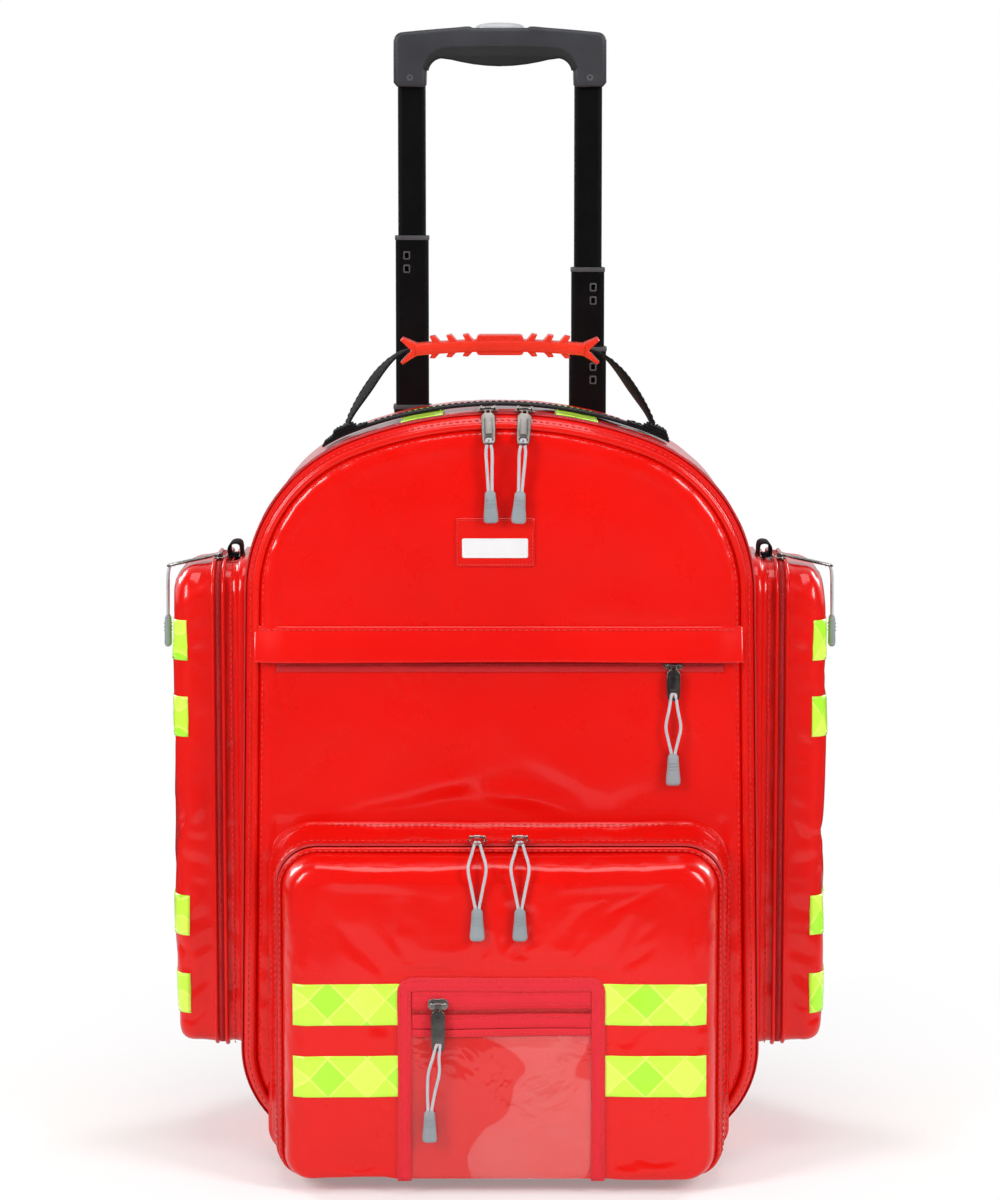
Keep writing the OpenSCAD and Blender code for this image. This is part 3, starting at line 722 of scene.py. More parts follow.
# ---------------------------------------------------------------- solids
def onto_spine(ring, axis, low, high):
    """Moves a ring onto an upright line, where the coordinate on axis is 0."""
    line_points = ring.copy()
    line_points[:, axis] = 0
    line_points[:, 2] = np.clip(ring[:, 2], low, high)
    return line_points


def loft(rings, spine=None, steps=0):
    """Stacks rings into a grid; with a spine (axis, low, high) the last ring is filled in.

    Returns vertices, faces and each vertex's ring number.
    """
    rings = list(rings)
    size = len(rings[0])
    if spine:
        last = rings[-1]
        target = onto_spine(last, *spine)
        for k in range(1, steps + 1):
            rings.append(last * (1 - k / steps) + target * (k / steps))
    return (np.vstack(rings), grid_faces(len(rings), size),
            np.repeat(np.arange(len(rings)), size))


def inset_from(verts, first, size):
    """Distance seen from the front of each point from ring first - 1; 0 before ring first."""
    grid = verts.reshape(-1, size, 3)[:, :, [0, 2]]
    inset = np.linalg.norm(grid - grid[first - 1], axis=2)
    inset[:first] = 0
    return inset.ravel()


def frames_along(path, closed=False, up=None):
    """Up and side directions at each point of a path."""
    points = np.asarray(path, float)
    if closed:
        tangents = unit(np.roll(points, -1, 0) - np.roll(points, 1, 0))
    else:
        tangents = unit(np.gradient(points, axis=0))
    if up is not None:
        ups = np.broadcast_to(np.asarray(up, float), points.shape)
        ups = unit(ups - (ups * tangents).sum(1)[:, None] * tangents)
    else:
        ups = np.zeros_like(points)
        current = vec(0, 0, 1) if abs(tangents[0][2]) < 0.9 else vec(1, 0, 0)
        for i, tangent in enumerate(tangents):
            current = unit(current - (current @ tangent) * tangent)
            ups[i] = current
    return ups, np.cross(tangents, ups)


def sweep(path, section, closed=False, up=None, scale=None):
    """Sweeps a closed section (columns: along up, along side) down a path."""
    ups, sides = frames_along(path, closed, up)
    points, section = np.asarray(path, float), np.asarray(section, float)
    count, size = len(points), len(section)
    scale = np.ones((count, 2)) if scale is None else np.asarray(scale, float)
    verts = (points[:, None] + (section[None, :, 0:1] * scale[:, None, 0:1]) * ups[:, None]
             + (section[None, :, 1:2] * scale[:, None, 1:2]) * sides[:, None]).reshape(-1, 3)
    faces = []
    for k in range(count if closed else count - 1):
        after = (k + 1) % count
        for i in range(size):
            j = (i + 1) % size
            faces.append((k * size + i, after * size + i, after * size + j, k * size + j))
    if not closed:
        faces.append(tuple(range(size)))
        faces.append(tuple((count - 1) * size + i for i in reversed(range(size))))
    return verts, faces


def oval(up, side, steps=10):
    angles = turn(steps)
    return np.stack([up * np.cos(angles), side * np.sin(angles)], 1)


def circle(radius, steps=10):
    return oval(radius, radius, steps)


def band(width, thick):
    """Webbing section with softened edges."""
    half, edge = thick * 0.5, width / 2
    return vec((-half, -edge + half), (-half * 0.4, -edge), (half * 0.4, -edge),
               (half, -edge + half), (half, edge - half), (half * 0.4, edge),
               (-half * 0.4, edge), (-half, edge - half))


def ring_facing_y(x, y, z, radius, steps):
    return [(x + radius * math.cos(angle), y, z + radius * math.sin(angle))
            for angle in turn(steps)]


def piping(name, body, path, radius, steps, material=PIPING, closed=False):
    verts, faces = sweep(path, circle(radius, steps), closed)
    attach(fix_normals(make_object(name, verts, faces, [material])), body)


def plate(loops, thick, bevel, segments, z0=0.0):
    """Flat plate from 2-D loops (later ones are holes), from z0 to z0 + thick, edges rounded."""
    curve = bpy.data.curves.new("plate", "CURVE")
    curve.dimensions = "2D"
    curve.fill_mode = "BOTH"
    for loop in loops:
        outline = curve.splines.new("POLY")
        outline.points.add(len(loop) - 1)
        for point, (x, y) in zip(outline.points, loop):
            point.co = (x * MM, y * MM, 0, 1)
        outline.use_cyclic_u = True
    curve.extrude = max(thick / 2 - bevel, 0.0) * MM
    curve.bevel_depth = bevel * MM
    curve.bevel_resolution = segments
    curve.offset = -bevel * MM
    source = link_object("plate", curve)
    depsgraph = bpy.context.evaluated_depsgraph_get()
    mesh = bpy.data.meshes.new_from_object(source.evaluated_get(depsgraph))
    bpy.data.objects.remove(source)
    for vertex in mesh.vertices:
        vertex.co.z += (z0 + thick / 2) * MM
    obj = link_object("plate", mesh)
    fix_normals(obj, 0.001)
    return smooth_by_angle(obj, 35)


def transform_mesh(obj, place):
    """Applies a function of mm coordinates to an object's mesh."""
    verts = np.array([v.co for v in obj.data.vertices], float) * 1000.0
    obj.data.vertices.foreach_set("co", (place(verts) * MM).ravel())
    obj.data.update()


def moved(x, y, z):
    return lambda v: v + vec(x, y, z)


def on_face(x, y, z):
    """Stands a flat piece up so that its +z faces the front (-Y)."""
    return lambda v: np.stack([v[:, 0] + x, y - v[:, 2], v[:, 1] + z], 1)


class Parts:
    """Collects lumps of geometry, each with its own material, into one object."""

    def __init__(self):
        self.verts, self.faces, self.indices, self.materials = [], [], [], []
        self.count = 0

    def add(self, verts, faces, material):
        if material not in self.materials:
            self.materials.append(material)
        verts = np.asarray(verts, float)
        self.verts.append(verts)
        self.faces += [tuple(i + self.count for i in face) for face in faces]
        self.indices += [self.materials.index(material)] * len(faces)
        self.count += len(verts)

    def add_plate(self, obj, material, place=moved(0, 0, 0)):
        """Takes over a plate's mesh, moved by a function of mm coordinates."""
        verts = np.array([v.co for v in obj.data.vertices], float) * 1000.0
        self.add(place(verts), [tuple(p.vertices) for p in obj.data.polygons], material)
        bpy.data.objects.remove(obj)

    def repeat(self, centres, axes, shape, faces, material):
        """Copies a small shape to each centre, along three sets of axes."""
        verts = centres[:, None]
        for k, axis in enumerate(axes):
            verts = verts + shape[None, :, k:k + 1] * axis[..., None, :]
        size = len(shape)
        faces = [tuple(i + size * k for i in face) for k in range(len(centres)) for face in faces]
        self.add(verts.reshape(-1, 3), faces, material)

    def stitch(self, path, normals, thread=RED_THREAD, pitch=4.6, length=3.3, radius=0.45,
               closed=False, lift=0.15):
        """A row of thread stitches lying on a surface; normals may be one vector."""
        at, reach = stations(path, pitch, closed)
        normals = np.broadcast_to(normals, np.shape(path))
        normals = unit(interpolate(normals, at, reach, closed))
        centres = interpolate(path, at, reach, closed) + normals * lift
        tangents = unit(interpolate(path, at + 0.3, reach, closed)
                        - interpolate(path, at - 0.3, reach, closed))
        half = length / 2
        shape = [(-half, 0, -0.1)]
        for end in (-0.55, 0.55):
            shape += [(end * half, radius * math.cos(angle), radius * math.sin(angle) + 0.1)
                      for angle in turn(5)]
        shape.append((half, 0, -0.1))
        around = [(a, (a + 1) % 5) for a in range(5)]
        faces = [(0, 1 + b, 1 + a) for a, b in around]
        faces += [(1 + a, 1 + b, 6 + b, 6 + a) for a, b in around]
        faces += [(11, 6 + a, 6 + b) for a, b in around]
        axes = (tangents, np.cross(tangents, normals), normals)
        self.repeat(centres, axes, np.array(shape), faces, thread)

    def teeth(self, path, normals, across, side, size=(0.62, 0.75)):
        """Coil-zip elements: small rounded bars that reach across the middle of a zip."""
        pitch, length = 1.9, 2.2
        at, reach = stations(path, pitch)
        at = at + (pitch * 0.5 if side > 0 else 0.0)
        at = at[at < reach[-1]]
        normals = unit(interpolate(np.broadcast_to(normals, np.shape(path)), at, reach))
        width, height = size
        shape = []
        for x, s in ((-0.5, 0.8), (0.55, 1.0), (length, 0.75)):
            shape += [(x, -width * s, -height * 0.4), (x, -width * s * 0.6, height * s),
                      (x, width * s * 0.6, height * s), (x, width * s, -height * 0.4)]
        faces = grid_faces(3, 4) + [(3, 2, 1, 0), (8, 9, 10, 11)]
        axes = (np.broadcast_to(across, normals.shape), np.cross(across, normals), normals)
        self.repeat(interpolate(path, at, reach), axes, np.array(shape), faces, TEETH)

    def place(self, transform):
        self.verts = [transform(verts) for verts in self.verts]

    def build(self, name, body=None, replaced=None, fix=True, angle=None):
        obj = make_object(name, np.vstack(self.verts), self.faces, self.materials, self.indices)
        if fix:
            fix_normals(obj)
        if angle:
            smooth_by_angle(obj, angle)
        if body:
            attach(obj, body, replaced)
        return obj


def zip_half(name, body, path, normals, across, width, side, replaced=None):
    """Half a zip: woven tape, a bead and coil teeth. across points from tape to teeth."""
    across = vec(*across)
    parts = Parts()
    parts.add(*sweep(path - across * (width / 2 + 1.1), band(width, 0.7), up=normals), ZIP_TAPE)
    parts.add(*sweep(path - across * 1.3 + normals * 0.5, circle(0.55, 6)), ZIP_TAPE)
    parts.teeth(path - across + normals * 0.45, normals, across, side)
    parts.build(name, body, replaced)


def hinge_strip(name, section, axis, half):
    """Fabric hinge: section points repeated along an axis (0 is x, 1 is y)."""
    points = []
    for point in section:
        for distance in np.linspace(-half, half, 40):
            place = vec(*point)
            place[axis] += distance
            points.append(place)
    obj = make_object(name, points, grid_faces(len(section), 40, False), [ZIP_TAPE])
    fix_normals(obj)
    wall = solidify(obj, 0.9)
    bm = bmesh.new()
    bm.from_object(obj, bpy.context.evaluated_depsgraph_get())
    obj.modifiers.remove(wall)
    bm.to_mesh(obj.data)
    bm.free()
    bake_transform(obj)


def weld_lines(name, body, points, normals, rows):
    """Fine raised lines along chosen rows of a reflective strip."""
    parts = Parts()
    for row in rows:
        parts.add(*sweep(points[row] + normals[row] * 0.3, circle(0.22, 6)), LIME)
    parts.build(name, body, fix=False)


# ---------------------------------------------------------------- rear half of the bag
ARCH, ARCH_NORMALS = arch_outline(ARCH_STEPS)


def seam_distance(ring_count):
    return np.tile(np.linspace(0, 1, ARCH_STEPS, endpoint=False) * SEAM_LENGTH, ring_count)


def bag_shell():
    back_y, back_radius = 76.4, 11
    rings = [xz(ARCH - ARCH_NORMALS * inset, y)
             for inset, y in ((2.6, -75.6), (1.2, -76.4), (0.9, -75.4), (0.9, -73.0))]
    rings += [xz(ARCH, y) for y in np.arange(-70, 75.1, 3.6)]
    for angle in np.radians([0, 14, 28, 42, 56, 70, 84, 90]):
        rings.append(xz(ARCH - ARCH_NORMALS * back_radius * (1 - math.cos(angle)),
                        back_y + back_radius * math.sin(angle)))
    verts, faces, ring = loft(rings, (0, 200, 350), 26)
    normals = vertex_normals(verts, faces)
    if (normals[:ARCH_STEPS * 20] * np.tile(nxz(ARCH_NORMALS), (20, 1))).sum() < 0:
        normals = -normals
    y = verts[:, 1]
    push = -0.75 + 0.85 * ripple(verts, 120, 1) + 0.40 * ripple(verts, 36, 2)
    # pulled in along the zip seam, with small puckers
    edge = bell(y + 74, 7)
    puckers = np.sin(seam_distance(ring[-1] + 1) / 5.2) * bell(y + 68, 6)
    push = push * (1 - edge) + edge * (-0.9 + 0.35 * puckers)
    # a soft crease over the crown, and sag between the seams
    push -= (0.9 * bell(y - 30, 30) * smoothstep(430, 540, verts[:, 2])
             * (0.5 + 0.5 * ripple(verts, 60, 3)))
    push = np.where(y > 80, -0.4 - 0.7 * np.abs(ripple(verts, 80, 4)), push)
    verts = verts + normals * np.minimum(push, 0.12)[:, None]
    obj = skin("bag_shell", verts, faces, PVC)
    line_inside(obj, 2.2)
    attach(obj, "pack", "main_shell")


bag_shell()


def crown_points(x0, x1, lift, steps):
    """(x, z) points and normals over the crown, lifted off it."""
    points, normals = [], []
    for x in np.linspace(x0, x1, steps):
        i = int(np.argmin(np.abs(ARCH[:, 0] - x) + np.where(ARCH[:, 1] < 420, 1e3, 0)))
        j = (i + (1 if ARCH[i, 0] > x else -1)) % ARCH_STEPS
        start, end = ARCH[i], ARCH[j]
        run = end[0] - start[0]
        t = 0 if abs(run) < 1e-6 else (x - start[0]) / run
        normal = unit(ARCH_NORMALS[i] * (1 - t) + ARCH_NORMALS[j] * t)
        points.append(start * (1 - t) + end * t + normal * lift)
        normals.append(normal)
    return np.array(points), np.array(normals)


def top_strip(name, x0, x1):
    """Reflective strip that runs front to back over the crown."""
    points, normals = crown_points(x0, x1, 0.55, 14)
    depths = np.linspace(-70, 30, 26)
    verts = []
    for y in depths:
        for k, (point, normal) in enumerate(zip(points, normals)):
            x, z = point + normal * (0.125 * math.sin(y * 0.19 + k * 0.5))
            verts.append((x, y, z))
    parts = Parts()
    parts.add(verts, grid_faces(len(depths), len(points), False), LIME)
    obj = parts.build(name)
    solidify(obj, 0.6)
    attach(obj, "pack", "top_tapes")
    welds = Parts()
    for k, inward in ((0, 1), (-1, -1)):
        x, z = points[k][0] + inward * 1.8, points[k][1] + normals[k][1] * 0.5 + 0.3
        welds.add(*sweep([(x, y, z) for y in depths], circle(0.25, 6)), LIME)
    welds.build(name + "_weld", "pack", fix=False)


top_strip("top_strip_left", -71, -41)
top_strip("top_strip_right", 40, 70)


def crown_strap():
    """Black strap across the crown, with doubled ends sewn in a crossed box."""
    parts = Parts()
    points, normals = crown_points(-128, 122, 2.0, 90)
    parts.add(*sweep(xz(points, HANDLE_Y), band(25, 1.6), up=nxz(normals)), WEBBING)
    for x0, x1 in ((-126, -96), (92, 121)):
        points, normals = crown_points(x0, x1, 3.55, 24)
        up = nxz(normals)
        parts.add(*sweep(xz(points, HANDLE_Y), band(24.4, 1.4), up=up), WEBBING)
        top = xz(points + normals * 0.75, HANDLE_Y)
        for y in (-9.5, 9.5):
            parts.stitch(top[2:-2] + vec(0, y, 0), up[2:-2], BLACK_THREAD)
        for slope in (-1, 1):
            path = top[2:-2].copy()
            path[:, 1] = HANDLE_Y + slope * np.linspace(-9.5, 9.5, len(path))
            parts.stitch(path, up[2:-2], BLACK_THREAD)
        for k in (2, -3):
            path = np.array([top[k] + vec(0, y, 0) for y in np.linspace(-9.5, 9.5, 8)])
            parts.stitch(path, up[k], BLACK_THREAD)
    points, normals = crown_points(-92, 88, 2.9, 60)
    for y in (-10.5, 10.5):
        parts.stitch(xz(points, HANDLE_Y + y), nxz(normals), BLACK_THREAD)
    parts.build("crown_strap", "pack", "black_webbing")


crown_strap()

# ---------------------------------------------------------------- lid of the main compartment
# Edge of the lid from the zip to the front panel: inset from the outline, y
LID_PROFILE = [
    (2.6, -81.0), (1.5, -81.3), (1.1, -82.2), (1.3, -83.6), (2.3, -85.2), (3.8, -87.0),
    (5.5, -88.9), (6.9, -90.3), (7.9, -91.2), (9.4, -91.4), (10.4, -91.3), (11.4, -91.6),
    (12.3, -92.4), (13.2, -93.4), (14.6, -94.5), (16.4, -95.3), (18.6, -95.7), (21.0, -95.9)]
# Folds above the front pocket: x, z, half length, half width, depth, angle
LID_FOLDS = [
    (-28, 272, 26, 7, 1.5, 0.35), (6, 262, 30, 6, 1.7, -0.15), (44, 276, 22, 7, 1.2, -0.5),
    (-70, 264, 24, 6, 0.8, 0.2), (-8, 292, 14, 12, 0.9, 0.9), (92, 268, 20, 8, 0.7, 0.3),
    (-120, 300, 30, 10, 0.6, 0.8), (130, 310, 30, 10, 0.6, -0.8)]
# Shallow dents and swells: x, z, half width, half height, depth
LID_DENTS = [
    (-40, 500, 10, 34, 0.8), (44, 500, 11, 30, 0.8), (3, 508, 7, 22, 0.6),
    (88, 408, 26, 9, -1.1), (120, 402, 12, 6, -0.7), (-96, 452, 50, 12, 0.35)]


def lid_face_y(x, z, inset):
    """Depth of the lid's front panel, inset mm in from its piped edge."""
    y = -95.0 - 0.9 * bell(inset - 8, 5)
    upper = smoothstep(398, 470, z) * smoothstep(0, 60, inset)
    y = y - 3.0 * upper * np.clip(1 - (x / 190) ** 2, 0, 1)
    lower = smoothstep(352, 320, z) * smoothstep(236, 270, z)
    return y - 1.0 * lower * smoothstep(4, 50, inset)


def lid_panel():
    first = len(LID_PROFILE)
    rings = [xz(ARCH - ARCH_NORMALS * inset, y) for inset, y in LID_PROFILE]
    verts, faces, ring = loft(rings, (0, 170, 380), 64)
    face = ring >= first
    inset = inset_from(verts, first, ARCH_STEPS)
    x, y, z = verts.T
    y[face] = lid_face_y(x, z, inset + 9)[face]
    push = 0.42 * ripple(verts, 120, 5) + 0.10 * ripple(verts, 38, 6)
    for fold_x, fold_z, length, width, depth, angle in LID_FOLDS:
        u, v = rotated(x - fold_x, z - fold_z, angle)
        push += depth * bell(u, length) * (bell(v, width) - 0.8 * bell(v - width * 1.9, width))
    for dent_x, dent_z, width, height, depth in LID_DENTS:
        push += depth * bell(x - dent_x, width) * bell(z - dent_z, height)
    # flat under the zip flap and behind the front pocket
    behind_flap = bell(z - 378, 14) * 0.9
    behind_pocket = smoothstep(262, 246, z) * smoothstep(172, 160, np.abs(x))
    push *= (1 - behind_flap) * (1 - behind_pocket)
    y += push * np.where(face, smoothstep(0, 25, inset), 0)
    y[:] = np.where(face & (behind_pocket > 0.5), np.maximum(y, -94.9), y)
    y[:] = np.where(face & (np.abs(z - 375) < 22), np.maximum(y, -95.1), y)
    # small puckers along the piped seam
    seam = seam_distance(ring[-1] + 1)
    puckers = 0.28 * np.sin(seam / 4.1 + 1.5 * np.sin(seam / 37)) * bell(ring - 14, 1.8)
    y += np.where((ring >= 11) & (ring <= 17), puckers, 0)
    # the padded edge of the panel isn't dead straight
    y += np.where((ring >= 12) & (ring <= 18), 0.35 * ripple(verts, 46, 7), 0)
    obj = skin("lid_panel_skin", verts, faces, PVC_PANEL)
    line_inside(obj, 2.0)
    return obj


lid_object = lid_panel()
LID_BVH = mesh_bvh(lid_object)
attach(lid_object, "main_lid", "lid_panel")


def lid_seams():
    piping("lid_piping", "main_lid", xz(ARCH - ARCH_NORMALS * 8.7, -92.4), 2.45, 12, closed=True)
    parts = Parts()
    parts.stitch(xz(ARCH - ARCH_NORMALS * 5.0, -88.3), nxz(ARCH_NORMALS, -0.85),
                 closed=True, lift=0.1)
    parts.stitch(xz(ARCH - ARCH_NORMALS * 13.8, -93.9), nxz(-ARCH_NORMALS, -0.9),
                 closed=True, lift=0.0)
    parts.build("lid_seam_stitching", "main_lid", fix=False)


def main_zip():
    """Both halves, from one bottom corner over the crown to the other, and the hinge."""
    kept = off_hinge(ARCH, 112, 12)
    points, normals = ARCH[kept], ARCH_NORMALS[kept]
    path = xz(points - normals * 0.7, MAIN_ZIP_Y)
    zip_half("main_zip_rear", "pack", path, nxz(normals), (0, -1, 0), 5.4, 1, "rear_zip_tapes")
    zip_half("main_zip_front", "main_lid", path, nxz(normals), (0, 1, 0), 3.6, -1,
             "lid_zip_tapes")
    section = [(0, y, 10.2 if abs(y - MAIN_ZIP_Y) < 4 else 10.6) for y in np.linspace(-88, -70, 19)]
    hinge_strip("lid_hinge_strip",
                section, 0, 112)


lid_seams()
main_zip()

# Flap over the upper pocket's zip: z, y round its section
FLAP_SECTION = [
    (395.2, -94.4), (395.2, -95.9), (394.0, -97.0), (392.2, -97.2), (390.8, -97.9),
    (387, -99.6), (382, -101.0), (376.5, -102.1), (372.5, -102.8), (370.7, -103.0),
    (369.7, -102.6), (369.7, -101.8), (370.8, -101.5), (374.5, -101.3), (379, -100.3),
    (385, -98.2), (390, -96.2), (393, -94.8)]


def flap_set_back(x):
    return 3.2 * smoothstep(151, 179, np.abs(x))


def zip_flap():
    columns = np.linspace(-176.5, 174.5, 150)
    verts = []
    for x in columns:
        lip = 0.45 * math.sin(x * 0.031 + 0.6) + 0.25 * math.sin(x * 0.083)
        lip += 0.9 * bell(x - 118, 28)
        for z, y in FLAP_SECTION:
            loose = smoothstep(392, 372, z)
            verts.append((x, y - lip * loose * 0.35 + flap_set_back(x),
                          z + 0.35 * math.sin(x * 0.02 + 1.1) * loose))
    size = len(FLAP_SECTION)
    faces = grid_faces(len(columns), size)
    faces.append(tuple(range(size)))
    faces.append(tuple((len(columns) - 1) * size + i for i in reversed(range(size))))
    parts = Parts()
    parts.add(verts, faces, PVC)
    x = np.linspace(-172, 170, 120)
    parts.stitch(np.stack([x, -97.2 + flap_set_back(x), np.full(120, 392.6)], 1),
                 vec(0, -1, 0.1), radius=0.5)
    parts.build("zip_flap_skin", "main_lid", "zip_flap")


def flap_zip():
    parts = Parts()
    centre = np.array([(x, -95.9, FLAP_ZIP_Z) for x in np.linspace(-160, 160, 80)])
    front = vec(0, -1, 0)
    for side in (1, -1):
        across = vec(0, 0, -side)
        parts.add(*sweep(centre - across * 3.6, band(4.6, 0.6), up=front), ZIP_TAPE)
        parts.teeth(centre - across, front, across, side)
    parts.build("flap_zip", "main_lid")


zip_flap()
flap_zip()


def lid_patch(name, x0, x1, z0, z1, radius, material, lift, thick):
    """Rounded patch draped over the lid."""
    columns, rows = 36, 24
    points = [(x, -110, z) for z in np.linspace(z0, z1, rows) for x in np.linspace(x0, x1, columns)]
    points = drop(LID_BVH, points, 40, lift)[0]
    x, y, z = points.T
    y += 0.05 * np.sin(x * 0.4)
    # corner points are pulled in to the radius
    middle_x, middle_z = (x0 + x1) / 2, (z0 + z1) / 2
    core_x, core_z = (x1 - x0) / 2 - radius, (z1 - z0) / 2 - radius
    over_x, over_z = np.abs(x - middle_x) - core_x, np.abs(z - middle_z) - core_z
    corner = (over_x > 0) & (over_z > 0)
    reach = np.hypot(over_x, over_z)
    k = np.where(corner & (reach > radius), radius / np.maximum(reach, 1e-6), 1.0)
    x[:] = np.where(corner, middle_x + np.sign(x - middle_x) * (core_x + over_x * k), x)
    z[:] = np.where(corner, middle_z + np.sign(z - middle_z) * (core_z + over_z * k), z)
    sheet(name, points, rows, columns, material, thick, "main_lid")


def patch_stitching():
    inset = 1.7
    x0, x1, z0, z1 = PATCH
    loop = xz(rounded_rect(x0 + inset, x1 - inset, z0 + inset, z1 - inset, 1.2, 3), -110)
    loop = np.vstack([loop, loop[:1]])
    dense = [start * (1 - t) + end * t for start, end in zip(loop, loop[1:])
             for t in np.linspace(0, 1, 8, endpoint=False)]
    parts = Parts()
    parts.stitch(*drop(LID_BVH, dense, 40, 0.75), pitch=2.6, length=1.9, radius=0.3)
    parts.build("plain_patch_stitching", "main_lid", fix=False)


lid_patch("plain_patch", *PATCH, radius=1.5, material=PIPING, lift=0.35, thick=0.7)
lid_patch("plain_patch_field", -27, 20, 444.5, 458.5, radius=1.2, material=LABEL_WHITE,
          lift=0.95, thick=0.4)
patch_stitching()

# ---------------------------------------------------------------- front pocket
# Walls from the lid to the zip: inset from the outline, y
POCKET_WALL_PROFILE = [
    (-7.0, -94.3), (-7.2, -95.2), (-5.4, -96.4), (-4.0, -98.5), (-3.0, -102), (-2.4, -107),
    (-1.8, -112), (-1.4, -117), (-1.0, -122), (-0.7, -127), (-0.4, -131), (-0.2, -134),
    (0.6, -136.2), (1.3, -137.2), (1.9, -138.2), (3.2, -138.6)]
# Front half from the zip to the face: inset, y
POCKET_FRONT_PROFILE = [
    (4.4, -142.6), (3.1, -143.0), (2.9, -144.2), (3.4, -145.6), (5.0, -146.4), (6.0, -148.0),
    (6.4, -151), (7.1, -154.5), (8.0, -158), (9.0, -161.5), (10.3, -164.6), (11.8, -167.0),
    (13.7, -168.8), (16.2, -169.9), (19.6, -170.4)]
# Folds along the top edge: x, z, half length, half width, height, angle
POCKET_FOLDS = [
    (-96, 226, 26, 4, 0.9, 0.05), (60, 229, 34, 4, 0.8, -0.03), (2, 222, 40, 6, -1.0, 0),
    (126, 214, 14, 8, 0.3, -0.8), (-128, 212, 14, 8, 0.3, 0.8)]


def pocket_outline(inset, centre=0.0, bottom=POCKET_BOTTOM, sag=0.0):
    points, normals = round_outline(
        centre - POCKET_HALF + inset, centre + POCKET_HALF - inset, bottom, POCKET_TOP - inset,
        max(29.0 - inset * 0.55, 8), max(18.0 - inset * 0.2, 8), POCKET_STEPS)
    x, z = points.T
    z -= sag * smoothstep(150, 235, z) * np.clip(1 - ((x - centre) / 130) ** 2, 0, 1)
    return points, normals


def pocket_stitches(parts, inset, y, tilt=0.0, lift=0.15):
    """A stitch row round the pocket, except along its bottom."""
    points, normals = pocket_outline(inset)
    kept = points[:, 1] > 14
    parts.stitch(xz(points[kept], y), nxz(normals[kept], tilt), lift=lift)


def pocket_wall():
    rings = [xz(pocket_outline(inset, centre=-0.96 * (y + 137) / 42,
                               sag=2.2 * bell(y + 116, 16))[0], y)
             for inset, y in POCKET_WALL_PROFILE]
    verts, faces, ring = loft(rings)
    normals = vertex_normals(verts, faces)
    if (normals * (verts - vec(0, 0, 128)) * vec(1, 0, 1)).sum() < 0:
        normals = -normals
    x, y, z = verts.T
    push = bell(ring - 7, 3.2) * (-0.9 + 1.1 * ripple(verts, 62, 8) + 0.5 * ripple(verts, 24, 9))
    # slanted dips across the top
    for dip_x, depth in ((-92, 1.4), (-30, 1.6), (28, 1.3), (84, 1.6)):
        push -= (depth * bell(x - dip_x - 0.4 * (y + 117), 9) * bell(y + 117, 12) * (z > 200))
    seam = np.tile(np.arange(POCKET_STEPS) * 2.2, len(rings))
    push += 0.25 * np.sin(seam / 3.1) * bell(ring - 13, 1.5)
    push = np.where(z < 12, np.minimum(push, 0), push)
    verts = verts + normals * push[:, None]
    verts[:, 2] = np.maximum(verts[:, 2], 8.7)
    obj = skin("pocket_wall", verts, faces, PVC)
    line_inside(obj, 1.6)
    attach(obj, "main_lid", "pocket_base")
    parts = Parts()
    pocket_stitches(parts, -4.6, -97.6, tilt=-0.8)
    pocket_stitches(parts, 0.2, -134.4, tilt=-0.25, lift=0.1)
    parts.build("pocket_wall_stitching", "main_lid", fix=False)


def pocket_back_panel():
    """Lower part of the pocket's back, which closes it behind the lid's bottom corners."""
    half_width, corner_radius, corner_z = 163.6, 19.0, 27.8
    bottom, rows, columns = 9.6, 12, 61
    points = []
    for i in range(rows):
        for j in range(columns):
            across = -1 + 2 * j / (columns - 1)
            x = half_width * across
            top = 36 + 34 * smoothstep(95, 160, abs(x))
            z = bottom + (top - bottom) * i / (rows - 1)
            half = half_width
            if z <= corner_z:
                rise = math.sqrt(max(corner_radius ** 2 - (corner_z - z) ** 2, 0.0))
                half = half_width - corner_radius + rise
            points.append((half * across, -96.6 - 0.12 * math.sin(x * 0.09), z))
    sheet("pocket_back_panel", points, rows, columns, PVC, 0.9, "main_lid")


def pocket_zip():
    points, normals = pocket_outline(2.0)
    kept = off_hinge(points, 136, 12)
    path, normals = xz(points[kept], POCKET_ZIP_Y), nxz(normals[kept])
    zip_half("pocket_zip_rear", "main_lid", path, normals, (0, -1, 0), 3.4, 1, "lid_zip_tapes")
    zip_half("pocket_zip_front", "pocket_lid", path, normals, (0, 1, 0), 2.6, -1,
             "pocket_zip_tapes")
    hinge_strip("pocket_hinge_strip",
                [(0, y, 9.7) for y in np.linspace(-147, -133, 15)], 0, 137)


